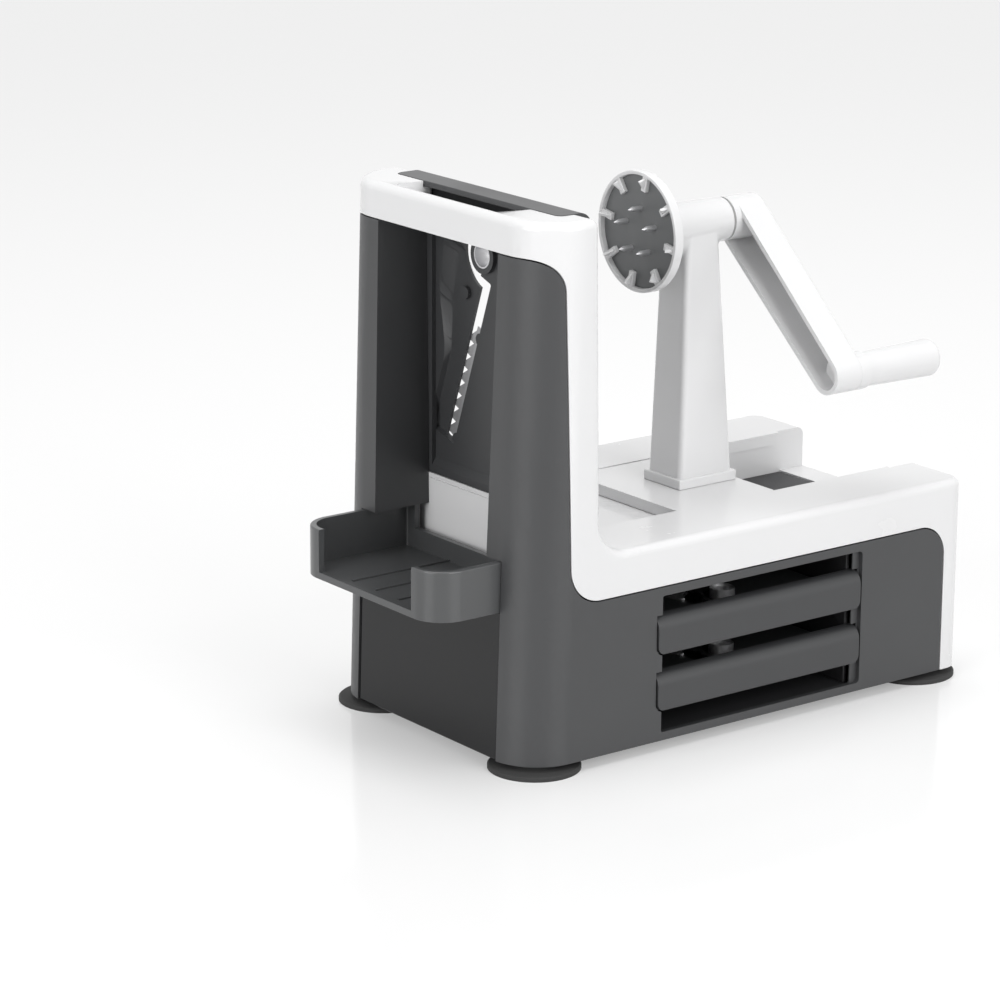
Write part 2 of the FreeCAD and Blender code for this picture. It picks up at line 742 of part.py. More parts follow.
def slicing_blade():
    """Flat steel with its ground edge beside the opening and a hollow end round the corer's way."""
    x0 = plate_back_x
    x1 = plate_back_x + blade_steel
    back = blade_edge + blade_width
    strip = blade_prism([(blade_start + 1.0, blade_edge, 0), (blade_end + 1.0, blade_edge, 1.0),
                         (blade_end + 8.5, blade_edge + 2.0, 2.0), (blade_end + 8.5, back - 2.0, 2.0),
                         (blade_end, back, 3.0), (blade_start + 1.0, back, 2.0)], x0, x1)
    strip = strip.cut(rod(corer_way_radius + 0.5, x0 - 1.0, x1 + 1.0, 0.0, crank_z))
    start = blade_start - 12.0
    low = blade_edge - 0.1
    ground = Part.Face(Part.makePolygon([
        blade_point(start, low, x1 + 0.01), blade_point(start, blade_edge + 2.6, x1 + 0.01),
        blade_point(start, low, x0 + 0.15), blade_point(start, low, x1 + 0.01)]))
    strip = strip.cut(ground.extrude(down * (blade_end - blade_start + 24.0)))
    for r, n in blade_screw_places(False):
        p = blade_point(r, n, 0)
        strip = strip.cut(rod(blade_screw_radius * 0.6, x0 - 1.0, x1 + 1.0, p.y, p.z))
    return strip


def comb_blade(pitch):
    """Steel comb whose teeth reach the slicing blade's edge, with a three-cornered gap between them."""
    x0 = plate_back_x
    x1 = plate_back_x + blade_steel
    tip = comb_root + comb_gap_depth
    end = blade_end + 0.5
    comb = blade_prism([(comb_start, comb_back, 1.0), (end, comb_back, 1.0),
                        (end, tip, 0.3), (comb_start, tip, 0.3)], x0, x1)
    count = int((end - comb_start - 2.0) / pitch)
    for i in range(count):
        r = comb_start + 2.0 + i * pitch
        open_part = pitch * comb_gap_share
        gap = [blade_point(r + 0.05 * pitch, comb_root, x0 - 1.0), blade_point(r - 0.02 * pitch, tip + 0.5, x0 - 1.0),
               blade_point(r + open_part, tip + 0.5, x0 - 1.0), blade_point(r + 0.05 * pitch, comb_root, x0 - 1.0)]
        comb = comb.cut(Part.Face(Part.makePolygon(gap)).extrude(V(blade_steel + 2.0, 0, 0)))
    for r, n in blade_screw_places(True)[2:]:
        p = blade_point(r, n, 0)
        comb = comb.cut(rod(blade_screw_radius * 0.6, x0 - 1.0, x1 + 1.0, p.y, p.z))
    return comb


def corer():
    """Steel tube at the centre with a ground mouth towards the food."""
    x0 = plate_front_x - rib_proud
    x1 = plate_back_x + corer_reach
    tube = rod(corer_radius, x0, x1, 0.0, crank_z)
    bore = rod(corer_radius - corer_wall, x0 - 1.0, x1 + 1.0, 0.0, crank_z)
    mouth = Part.makeCone(corer_radius - corer_wall, corer_radius - 0.1, 1.2,
                          V(x1 - 1.2, 0, crank_z), V(1, 0, 0))
    return tube.cut(bore.fuse(mouth))


def blade_screws(with_comb):
    shapes = []
    x = plate_back_x + blade_steel
    for r, n in blade_screw_places(with_comb):
        p = blade_point(r, n, 0)
        head = Part.makeCone(blade_screw_radius, blade_screw_radius * 0.7, 0.9, V(x, p.y, p.z), V(1, 0, 0))
        shank = rod(blade_screw_radius * 0.6, plate_front_x + 1.1, x + 0.1, p.y, p.z)
        slot = box(x + 0.5, x + 2.0, p.y - 0.3, p.y + 0.3, p.z - 3.0, p.z + 3.0)
        shapes.append(head.fuse(shank).cut(slot))
    return Part.makeCompound(shapes)


def plate_stop_y():
    """Where a stored cartridge's far end lies."""
    return half_width - store_far_room


def stored(shape, level_top):
    """Turns a fitted piece into its storage place: X becomes up and down becomes inwards."""
    turn = FreeCAD.Placement(FreeCAD.Matrix(0, -1, 0, 0, 0, 0, -1, 0, 1, 0, 0, 0, 0, 0, 0, 1))
    laid = shape.copy()
    laid.Placement = turn.multiply(laid.Placement)
    return shift(laid, store_mid_x, -half_width - grip_proud + grip_top_z, level_top - grip_back_x)


# Carriage

def carriage_sled():
    """Top plate with two runners hooked under the lips."""
    x0, x1 = sled_x
    edge = lip_half - sled_play
    top = base_height - sled_play
    plate = top_plate([(x0, -edge, 2.0), (x1, -edge, 2.0), (x1, edge, 2.0), (x0, edge, 2.0)],
                      top - sled_plate, top)
    runner = box(x0 + 2.0, x1 - 2.0, edge - runner_width, edge, runner_foot_z, top - 1.0)
    hook = box(x0 + 2.0, x1 - 2.0, edge - 1.0, edge + hook_reach, hook_z[0], hook_z[1])
    sled = plate.fuse(both_sides(runner.fuse(hook)))
    for x, y in tower_screw_places():
        sled = sled.cut(post(1.6, top - 20.0, top + 1.0, x, y))
        sled = sled.cut(post(3.1, top - 20.0, top - sled_plate + 2.2, x, y))
    return sled.removeSplitter()


def tower_screw_places():
    x0, x1, side = tower_foot
    return [(x, y) for x in (x0 + 7.0, x1 - 7.0) for y in (-side + 6.0, side - 6.0)]


def joins_hub(mid, bound):
    """Picks the edges where the column runs into the hub."""
    inside = bound.XMin > hub_x[0] + 1.0 and bound.XMax < hub_x[1] - 1.0
    return inside and bound.ZMin > crank_z - hub_radius - 3.0 and bound.ZMax < crank_z + 0.5


def carriage_tower():
    """Tapered column with the bearing hub across its head."""
    foot_z = base_height - sled_play
    x0, x1, side = tower_foot
    u0, u1, head_side = tower_head
    low = rounded_wire([(V(x0, -side, foot_z), 3.0), (V(x1, -side, foot_z), 3.0),
                        (V(x1, side, foot_z), 3.0), (V(x0, side, foot_z), 3.0)])
    high = rounded_wire([(V(u0, -head_side, crank_z), 2.6), (V(u1, -head_side, crank_z), 2.6),
                         (V(u1, head_side, crank_z), 2.6), (V(u0, head_side, crank_z), 2.6)])
    tower = Part.makeLoft([low, high], True, True)
    hub = Part.makeCone(hub_radius + 0.6, hub_radius, hub_x[1] - hub_x[0],
                        V(hub_x[0], 0, crank_z), V(1, 0, 0))
    tower = tower.fuse(hub)
    tower = soften(tower, tower_fillet, joins_hub)
    tower = tower.cut(rod(bushing_radius, hub_x[0] - 1.0, hub_x[1] + 1.0, 0.0, crank_z))
    for x, y in tower_screw_places():
        tower = tower.cut(post(1.4, foot_z - 1.0, foot_z + 14.0, x, y))
    return tower


def tower_screws():
    shapes = []
    seat = base_height - sled_play - sled_plate + 2.2
    for x, y in tower_screw_places():
        head = post(2.9, seat - 1.8, seat, x, y)
        shank = post(1.4, seat - 0.1, seat + 14.0, x, y)
        slot = box(x - 2.0, x + 2.0, y - 0.4, y + 0.4, seat - 2.0, seat - 1.0)
        shapes.append(head.fuse(shank).cut(slot))
    return Part.makeCompound(shapes)


def bushing(x0, x1, flange_at):
    """Plain bearing with a flange at one end of the hub."""
    sleeve = rod(bushing_radius, x0, x1, 0.0, crank_z)
    flange = rod(bushing_flange, flange_at, flange_at + bushing_flange_thick, 0.0, crank_z)
    bore = rod(shaft_radius + running_play, hub_x[0] - 5.0, hub_x[1] + 5.0, 0.0, crank_z)
    return sleeve.fuse(flange).cut(bore)


def drive_shaft():
    """Steel shaft through the hub, squared where the crank drives it."""
    front = wheel_front_x + wheel_depth - holder_disc_thick + 0.4
    bar = rod(shaft_radius, front, arm_rear_x - arm_web - 1.0, 0.0, crank_z)
    flat_from = arm_front_x + 1.0
    for side in (-1, 1):
        y0 = min(side * 3.0, side * 9.0)
        y1 = max(side * 3.0, side * 9.0)
        bar = bar.cut(box(flat_from, arm_rear_x, y0, y1, crank_z - 9.0, crank_z + 9.0))
    return bar.cut(rod(1.6, arm_rear_x - arm_web - 9.0, arm_rear_x, 0.0, crank_z))


# Food holder

def holder_disc():
    """Grey disc with a hub that the shaft carries."""
    back = wheel_front_x + wheel_depth
    front = back - holder_disc_thick
    disc = rod(wheel_radius - wheel_rim - 0.1, front, back, 0.0, crank_z)
    hub = rod(bushing_radius + 1.0, back - 0.1, hub_x[0] - bushing_flange_thick - seat_gap, 0.0, crank_z)
    disc = disc.fuse(hub).cut(rod(shaft_radius, front + 0.4, hub_x[0], 0.0, crank_z))
    for y, z in spike_places():
        disc = disc.cut(rod(spike_radius, front - 1.0, front + 1.6, y, z))
    return disc


def holder_rim():
    """White rim with radial ribs that lie on the disc and grip the food."""
    front = wheel_front_x
    back = wheel_front_x + wheel_depth
    ring = rod(wheel_radius, front, back, 0.0, crank_z)
    ring = ring.cut(rod(wheel_radius - wheel_rim, front - 1.0, back + 1.0, 0.0, crank_z))
    disc_front = back - holder_disc_thick
    ring = soften(ring, 0.6, lambda mid, bound: bound.YLength > wheel_radius * 2.0 - 0.1)
    for i in range(rib_count):
        turn = rib_first_angle + i * 360.0 / rib_count
        rib = box(front + 0.4, disc_front, -wheel_radius + wheel_rim * 0.5, -rib_inner_radius,
                  crank_z - rib_width / 2.0, crank_z + rib_width / 2.0)
        prong = front_prong(front + 0.5)
        piece = rib.fuse(prong)
        piece.rotate(V(0, 0, crank_z), V(1, 0, 0), -turn)
        ring = ring.fuse(piece)
    return ring.removeSplitter()


def front_prong(root_x):
    """A small wedge on each rib that bites into the food."""
    y0 = -wheel_radius + wheel_rim + 0.6
    y1 = -rib_inner_radius - 1.0
    wedge = Part.makePolygon([V(root_x, y0, 0), V(root_x, y1, 0), V(root_x - 3.6, y0 + 1.2, 0),
                              V(root_x, y0, 0)])
    return shift(Part.Face(wedge).extrude(V(0, 0, 1.4)), 0, 0, crank_z - 0.7)


def spike_places():
    places = []
    for i in range(spike_count):
        a = math.radians(90.0 + i * 360.0 / spike_count)
        places.append((spike_circle * math.cos(a), crank_z + spike_circle * math.sin(a)))
    return places


def holder_spikes():
    shapes = []
    front = wheel_front_x + wheel_depth - holder_disc_thick
    for y, z in spike_places():
        stem = rod(spike_radius, front - spike_length + 3.0, front + 1.6, y, z)
        tip = Part.makeCone(0.15, spike_radius, 3.0, V(front - spike_length, y, z), V(1, 0, 0))
        shapes.append(stem.fuse(tip))
    return Part.makeCompound(shapes)


# Crank and handle

handle_y = -arm_length * math.cos(math.radians(arm_angle))
handle_z = crank_z - arm_length * math.sin(math.radians(arm_angle))


def arm_outline(trim):
    """Tangent outline round the hub and the boss, as a wire in the plane x = 0."""
    lean = math.asin((arm_hub_radius - arm_boss_radius) / arm_length)
    axis = math.atan2(handle_z - crank_z, handle_y)
    big = arm_hub_radius - trim
    small = arm_boss_radius - trim
    hub = V(0, 0, crank_z)
    boss = V(0, handle_y, handle_z)

    def at(middle, radius, angle):
        return middle + V(0, math.cos(angle), math.sin(angle)) * radius

    left = axis + math.pi / 2.0 - lean
    right = axis - math.pi / 2.0 + lean
    edges = [Part.Arc(at(hub, big, left), at(hub, big, axis + math.pi), at(hub, big, right)).toShape(),
             Part.LineSegment(at(hub, big, right), at(boss, small, right)).toShape(),
             Part.Arc(at(boss, small, right), at(boss, small, axis), at(boss, small, left)).toShape(),
             Part.LineSegment(at(boss, small, left), at(hub, big, left)).toShape()]
    return Part.Wire(edges)


def crank_arm():
    """Channel section arm, open towards the portal, with a hub and a handle boss."""
    outer = Part.Face(arm_outline(0.0)).extrude(V(arm_rear_x - arm_front_x, 0, 0))
    outer = shift(outer, arm_front_x)
    outer = soften(outer, 3.5, lambda mid, bound: bound.XMin > arm_rear_x - 0.01)
    pocket = Part.Face(arm_outline(arm_wall)).extrude(V(arm_rear_x - arm_web - arm_front_x + 1.0, 0, 0))
    pocket = shift(pocket, arm_front_x - 1.0)
    hub_solid = rod(arm_hub_radius, hub_x[1] + bushing_flange_thick + seat_gap,
                    arm_rear_x - arm_web, 0.0, crank_z)
    boss_face = arm_front_x + arm_boss_depth
    boss_solid = rod(arm_boss_radius, boss_face, arm_rear_x - arm_web, handle_y, handle_z)
    arm = outer.cut(pocket.cut(hub_solid.fuse(boss_solid))).fuse(hub_solid)
    arm = arm.fuse(rod(arm_boss_radius, arm_rear_x - arm_web, arm_boss_rear_x, handle_y, handle_z))
    bore = rod(shaft_radius, hub_x[1] - 1.0, arm_front_x + 1.0, 0.0, crank_z)
    keyed = rod(shaft_radius, arm_front_x, arm_rear_x - arm_web - 1.0, 0.0, crank_z)
    keyed = keyed.common(box(arm_front_x, arm_rear_x, -3.0, 3.0, crank_z - 9.0, crank_z + 9.0))
    screw_way = rod(1.7, arm_rear_x - arm_web - 2.0, arm_rear_x + 1.0, 0.0, crank_z)
    screw_seat = rod(4.0, arm_rear_x - 1.6, arm_rear_x + 1.0, 0.0, crank_z)
    pin_way = rod(handle_pin_radius, handle_seat_x, arm_boss_rear_x + 1.0, handle_y, handle_z)
    head_way = rod(handle_screw_radius + 0.6, boss_face - 1.0, handle_seat_x, handle_y, handle_z)
    return arm.cut(bore.fuse([keyed, screw_way, screw_seat, pin_way, head_way])).removeSplitter()


def crank_screw():
    head = rod(3.2, arm_rear_x - 1.5, arm_rear_x - 0.5, 0.0, crank_z)
    shank = rod(1.6, arm_rear_x - arm_web - 8.0, arm_rear_x - 1.4, 0.0, crank_z)
    return head.fuse(shank)


def crank_hub_cap():
    """Round cover that snaps over the crank screw."""
    rim = rod(3.9, arm_rear_x - 1.55, arm_rear_x + 0.9, 0.0, crank_z)
    rim = soften(rim, 0.6, lambda mid, bound: bound.XMin > arm_rear_x + 0.8)
    return rim.cut(rod(3.3, arm_rear_x - 2.0, arm_rear_x - 0.4, 0.0, crank_z))


def handle_pin():
    """Fixed axle of the handle, flanged at its outer end so that the grip stays on."""
    end = handle_end_x - handle_cap_depth
    bar = rod(handle_pin_radius, handle_seat_x, end, handle_y, handle_z)
    flange = rod(handle_pin_flange, end - 1.5, end, handle_y, handle_z)
    return bar.fuse(flange).cut(rod(1.6, handle_seat_x - 0.5, handle_seat_x + 12.0, handle_y, handle_z))


def handle_screw():
    x = handle_seat_x - 0.8
    head = rod(handle_screw_radius, x - 2.0, x, handle_y, handle_z)
    shank = rod(1.6, x - 0.1, x + 11.0, handle_y, handle_z)
    cross = box(x - 2.5, x - 1.0, handle_y - 2.2, handle_y + 2.2, handle_z - 0.4, handle_z + 0.4)
    cross = cross.fuse(box(x - 2.5, x - 1.0, handle_y - 0.4, handle_y + 0.4,
                           handle_z - 2.2, handle_z + 2.2))
    return head.fuse(shank).cut(cross)


def handle_washer():
    x = handle_seat_x - 0.8
    ring = rod(handle_screw_radius + 0.4, x, handle_seat_x, handle_y, handle_z)
    return ring.cut(rod(1.7, x - 1.0, x + 2.0, handle_y, handle_z))


def handle_grip():
    """Turned grip that widens towards its free end, bored for the pin and its flange."""
    x0 = arm_boss_rear_x + seat_gap
    x1 = handle_end_x
    grip = Part.makeCone(handle_root_radius, handle_end_radius, x1 - x0,
                         V(x0, handle_y, handle_z), V(1, 0, 0))
    grip = soften(grip, handle_round, lambda mid, bound: bound.XMin > x1 - 0.01)
    seat = x1 - handle_cap_depth
    bore = rod(handle_pin_radius + running_play, x0 - 1.0, x1, handle_y, handle_z)
    room = rod(handle_pin_flange + 0.4, seat - 1.5 - running_play, seat + 0.5, handle_y, handle_z)
    cap_seat = rod(handle_cap_radius - 0.4, seat + 0.3, x1 + 1.0, handle_y, handle_z)
    return grip.cut(bore.fuse([room, cap_seat]))


def handle_end_cap():
    x1 = handle_end_x
    plug = rod(handle_cap_radius - 0.4, x1 - handle_cap_depth + 0.5, x1 - 0.2, handle_y, handle_z)
    return soften(plug, 0.8, lambda mid, bound: bound.XMin > x1 - 0.3)


# Output

def save(node, shape):
    """Moves a finished piece into the part's frame and writes its file."""
    rear_end = body_length - foot_inset_rear + foot_radius
    placed = shift(shape, (tray_reach - rear_end) / 2.0, 0.0, foot_height)
    solids = placed.Solids
    if len(solids) == 1:
        placed = solids[0]
    else:
        placed = Part.makeCompound(solids)
    if not placed.isValid():
        raise ValueError(node + " is not a valid shape")
    placed.exportStep("parts/" + node + ".step")
    print(node, len(solids), round(placed.Volume, 1))


def save_cartridge(prefix, with_comb, pitch, level_top):
    pieces = {"frame": cartridge_frame(with_comb), "slicing_blade": slicing_blade(),
              "corer": corer(), "blade_screws": blade_screws(with_comb)}
    if with_comb:
        pieces["comb_blade"] = comb_blade(pitch)
    for name, shape in pieces.items():
        if level_top is not None:
            shape = stored(shape, level_top)
        save(prefix + "_" + name, shape)


def main():
    save("frame_shell", frame_shell())
    save("near_side_housing", side_housing(-1))
    save("far_side_housing", side_housing(1))
    save("front_panel", front_panel())
    save("base_plate", base_plate())
    save("case_screws", case_screws())
    save("storage_rack", storage_rack())
    save("catch_tray", catch_tray())
    names = ("exit_near_foot", "exit_far_foot", "rear_near_foot", "rear_far_foot")
    for name, place in zip(names, foot_places()):
        save(name, suction_foot(*place))
    save("foot_studs", foot_studs())
    save_cartridge("fitted_cartridge", True, comb_tooth_pitch, None)
    save_cartridge("upper_stored_cartridge", True, comb_tooth_pitch / 2.0, store_tops[0])
    save_cartridge("lower_stored_cartridge", False, 0.0, store_tops[1])
    save("carriage_sled", carriage_sled())
    save("carriage_tower", carriage_tower())
    save("tower_screws", tower_screws())
    middle = (hub_x[0] + hub_x[1]) / 2.0
    save("front_bushing", bushing(hub_x[0], middle - 4.0, hub_x[0] - bushing_flange_thick))
    save("rear_bushing", bushing(middle + 4.0, hub_x[1], hub_x[1]))
    save("drive_shaft", drive_shaft())
    save("holder_disc", holder_disc())
    save("holder_rim", holder_rim())
    save("holder_spikes", holder_spikes())
    save("crank_arm", crank_arm())
    save("crank_screw", crank_screw())
    save("crank_hub_cap", crank_hub_cap())
    save("handle_pin", handle_pin())
    save("handle_screw", handle_screw())
    save("handle_washer", handle_washer())
    save("handle_grip", handle_grip())
    save("handle_end_cap", handle_end_cap())


main()
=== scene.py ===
"""A hand cranked spiralizer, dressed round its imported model."""

import math

import bmesh
import bpy
from mathutils import Matrix, Vector


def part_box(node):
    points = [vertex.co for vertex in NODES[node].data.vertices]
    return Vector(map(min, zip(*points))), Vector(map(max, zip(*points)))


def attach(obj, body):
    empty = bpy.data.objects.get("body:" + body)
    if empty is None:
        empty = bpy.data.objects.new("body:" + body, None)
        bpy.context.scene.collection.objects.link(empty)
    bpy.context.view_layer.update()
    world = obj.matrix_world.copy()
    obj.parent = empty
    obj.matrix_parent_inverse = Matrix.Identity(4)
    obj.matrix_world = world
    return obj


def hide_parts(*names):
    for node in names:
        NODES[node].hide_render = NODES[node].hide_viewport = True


bl_info = {
    "name": "Hand crank spiralizer",
    "version": (1, 0, 0),
    "blender": (4, 5, 0),
    "location": "3D View > Sidebar > Spiralizer",
    "description": "Builds the looks of a hand cranked spiralizer with blade cartridges",
    "category": "Add Mesh",
}

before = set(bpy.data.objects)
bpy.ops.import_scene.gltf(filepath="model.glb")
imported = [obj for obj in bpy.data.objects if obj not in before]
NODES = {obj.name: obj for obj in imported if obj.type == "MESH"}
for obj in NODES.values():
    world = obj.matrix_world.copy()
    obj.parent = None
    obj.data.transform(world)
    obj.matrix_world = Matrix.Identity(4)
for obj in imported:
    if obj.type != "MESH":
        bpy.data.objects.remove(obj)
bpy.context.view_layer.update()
MM = 0.001

CARTRIDGES = {
    "fitted_cartridge": "fitted_cartridge",
    "upper_stored_cartridge": "upper_cartridge",
    "lower_stored_cartridge": "lower_cartridge",
}
FEET = ("exit_near_foot", "exit_far_foot", "rear_near_foot", "rear_far_foot")


# Settings

class SpiralizerColours(bpy.types.PropertyGroup):
    """Colours of the mouldings and metals, as linear values."""

    shell: bpy.props.FloatVectorProperty(
        name="Shell", description="White portal, rails, carriage and crank",
        subtype="COLOR", size=3, min=0.0, max=1.0, default=(0.74, 0.74, 0.745))
    housing: bpy.props.FloatVectorProperty(
        name="Housing", description="Grey side housings and columns",
        subtype="COLOR", size=3, min=0.0, max=1.0, default=(0.046, 0.047, 0.049))
    panel: bpy.props.FloatVectorProperty(
        name="Front panel", description="Glossy plate below the tray",
        subtype="COLOR", size=3, min=0.0, max=1.0, default=(0.006, 0.0062, 0.0070))
    inside: bpy.props.FloatVectorProperty(
        name="Inner parts", description="Rack and base plate",
        subtype="COLOR", size=3, min=0.0, max=1.0, default=(0.022, 0.022, 0.024))
    tray: bpy.props.FloatVectorProperty(
        name="Tray", description="Catch tray",
        subtype="COLOR", size=3, min=0.0, max=1.0, default=(0.066, 0.068, 0.070))
    cartridge: bpy.props.FloatVectorProperty(
        name="Cartridge", description="Frames of the blade cartridges",
        subtype="COLOR", size=3, min=0.0, max=1.0, default=(0.038, 0.039, 0.041))
    # The holder disc's grey is painted shade: it is darker than the disc's own tone, to paint in
    # the shade the held vegetable casts on the disc.
    holder: bpy.props.FloatVectorProperty(
        name="Holder disc", description="Disc that carries the spikes",
        subtype="COLOR", size=3, min=0.0, max=1.0, default=(0.155, 0.16, 0.163))
    rubber: bpy.props.FloatVectorProperty(
        name="Rubber", description="Suction feet",
        subtype="COLOR", size=3, min=0.0, max=1.0, default=(0.022, 0.022, 0.023))
    steel: bpy.props.FloatVectorProperty(
        name="Steel", description="Blades, shaft and screws",
        subtype="COLOR", size=3, min=0.0, max=1.0, default=(0.56, 0.565, 0.575))


class SpiralizerSizes(bpy.types.PropertyGroup):
    """Sizes of the details that the scene adds."""

    edge_round: bpy.props.FloatProperty(
        name="Edge rounding", description="Radius on the mouldings' free edges",
        subtype="DISTANCE", unit="LENGTH", min=0.0, default=0.45 * MM)
    comb_pitch: bpy.props.FloatProperty(
        name="Comb pitch", description="From tooth to tooth of the coarse comb",
        subtype="DISTANCE", unit="LENGTH", min=0.001, default=7.1 * MM)
    comb_root: bpy.props.FloatProperty(
        name="Comb root", description="From the blade's radius to the foot of the comb's gaps",
        subtype="DISTANCE", unit="LENGTH", default=-2.0 * MM)
    comb_tip: bpy.props.FloatProperty(
        name="Comb tip", description="From the blade's radius to the tips of the teeth",
        subtype="DISTANCE", unit="LENGTH", default=2.2 * MM)
    comb_start: bpy.props.FloatProperty(
        name="Comb start", description="From the crank's axis to the inner end of the comb",
        subtype="DISTANCE", unit="LENGTH", min=0.0, default=37.0 * MM)
    blade_angle: bpy.props.FloatProperty(
        name="Blade angle", description="From straight down, towards the far side",
        subtype="ANGLE", unit="ROTATION", default=math.radians(19.3))
    rim_ribs: bpy.props.IntProperty(
        name="Rim ribs", description="Ribs round the holder's rim", min=3, default=8)
    first_rib: bpy.props.FloatProperty(
        name="First rib", description="Turn of the first rib from the near side",
        subtype="ANGLE", unit="ROTATION", default=math.radians(34.0))
    lamp_strength: bpy.props.FloatProperty(
        name="Lamp strength", description="Multiplies every lamp", min=0.0, default=1.0)


# Node helpers

def new_group(name, inputs, outputs):
    """An empty shader node group with named sockets, and its input and output nodes."""
    group = bpy.data.node_groups.new(name, "ShaderNodeTree")
    for label, kind, value in inputs:
        socket = group.interface.new_socket(label, in_out="INPUT", socket_type=kind)
        if value is not None:
            socket.default_value = value
    for label, kind in outputs:
        group.interface.new_socket(label, in_out="OUTPUT", socket_type=kind)
    return group, group.nodes.new("NodeGroupInput"), group.nodes.new("NodeGroupOutput")


def node(tree, kind, **values):
    """Adds a node; a value whose name is a socket sets it, and any other sets the property."""
    made = tree.nodes.new(kind)
    for name, value in values.items():
        label = "IOR" if name == "ior" else name.replace("_", " ").title()
        if hasattr(made, name):
            setattr(made, name, value)
        else:
            made.inputs[label].default_value = value
    return made


def grain_group():
    """Height of fine mould texture: a small noise with a slower swell under it."""
    made = bpy.data.node_groups.get("mould_grain")
    if made:
        return made
    group, source, sink = new_group(
        "mould_grain",
        [("Vector", "NodeSocketVector", None), ("Scale", "NodeSocketFloat", 900.0),
         ("Swell", "NodeSocketFloat", 30.0), ("Swell Share", "NodeSocketFloat", 0.4)],
        [("Height", "NodeSocketFloat")])
    fine = node(group, "ShaderNodeTexNoise", detail=3.0, roughness=0.6)
    slow = node(group, "ShaderNodeTexNoise", detail=1.0)
    share = node(group, "ShaderNodeMath", operation="MULTIPLY")
    total = node(group, "ShaderNodeMath", operation="ADD")
    link = group.links.new
    link(source.outputs["Vector"], fine.inputs["Vector"])
    link(source.outputs["Scale"], fine.inputs["Scale"])
    link(source.outputs["Vector"], slow.inputs["Vector"])
    link(source.outputs["Swell"], slow.inputs["Scale"])
    link(slow.outputs["Fac"], share.inputs[0])
    link(source.outputs["Swell Share"], share.inputs[1])
    link(fine.outputs["Fac"], total.inputs[0])
    link(share.outputs[0], total.inputs[1])
    link(total.outputs[0], sink.inputs["Height"])
    return group


def handling_group():
    """Slight change of colour and roughness from handling, in soft patches."""
    made = bpy.data.node_groups.get("handling_marks")
    if made:
        return made
    group, source, sink = new_group(
        "handling_marks",
        [("Vector", "NodeSocketVector", None), ("Color", "NodeSocketColor", None),
         ("Worn Color", "NodeSocketColor", None), ("Roughness", "NodeSocketFloat", 0.3),
         ("Roughness Change", "NodeSocketFloat", 0.08), ("Scale", "NodeSocketFloat", 18.0)],
        [("Color", "NodeSocketColor"), ("Roughness", "NodeSocketFloat")])
    patches = node(group, "ShaderNodeTexNoise", detail=5.0, roughness=0.62)
    spread = node(group, "ShaderNodeMapRange", from_min=0.35, from_max=0.7)
    mix = node(group, "ShaderNodeMix", data_type="RGBA")
    change = node(group, "ShaderNodeMath", operation="MULTIPLY_ADD")
    link = group.links.new
    link(source.outputs["Vector"], patches.inputs["Vector"])
    link(source.outputs["Scale"], patches.inputs["Scale"])
    link(patches.outputs["Fac"], spread.inputs["Value"])
    link(spread.outputs["Result"], mix.inputs["Factor"])
    link(source.outputs["Color"], mix.inputs["A"])
    link(source.outputs["Worn Color"], mix.inputs["B"])
    link(spread.outputs["Result"], change.inputs[0])
    link(source.outputs["Roughness Change"], change.inputs[1])
    link(source.outputs["Roughness"], change.inputs[2])
    link(mix.outputs["Result"], sink.inputs["Color"])
    link(change.outputs[0], sink.inputs["Roughness"])
    return group


def place_group(tree, group, **values):
    made = tree.nodes.new("ShaderNodeGroup")
    made.node_tree = group
    for name, value in values.items():
        made.inputs[name.replace("_", " ").title()].default_value = value
    return made


def rgba(colour, factor=1.0):
    return tuple(min(1.0, part * factor) for part in colour) + (1.0,)


def moulded(name, colour, roughness, change=0.08, worn=0.93, grain=900.0, depth=0.02,
            swell_share=0.4, coat=0.0, specular=0.5):
    """Moulded plastic: patchy gloss and a fine mould texture."""
    made = bpy.data.materials.get(name)
    if made:
        return made
    made = bpy.data.materials.new(name)
    made.use_nodes = True
    tree = made.node_tree
    shader = tree.nodes["Principled BSDF"]
    where = tree.nodes.new("ShaderNodeTexCoord")
    marks = place_group(tree, handling_group(), roughness=roughness, roughness_change=change)
    marks.inputs["Color"].default_value = rgba(colour)
    marks.inputs["Worn Color"].default_value = rgba(colour, worn)
    texture = place_group(tree, grain_group(), scale=grain, swell_share=swell_share)
    bump = node(tree, "ShaderNodeBump", strength=1.0, distance=depth * MM)
    link = tree.links.new
    link(where.outputs["Object"], marks.inputs["Vector"])
    link(where.outputs["Object"], texture.inputs["Vector"])
    link(marks.outputs["Color"], shader.inputs["Base Color"])
    link(marks.outputs["Roughness"], shader.inputs["Roughness"])
    link(texture.outputs["Height"], bump.inputs["Height"])
    link(bump.outputs["Normal"], shader.inputs["Normal"])
    shader.inputs["Coat Weight"].default_value = coat
    shader.inputs["Coat Roughness"].default_value = 0.06
    shader.inputs["Specular IOR Level"].default_value = specular
    return made


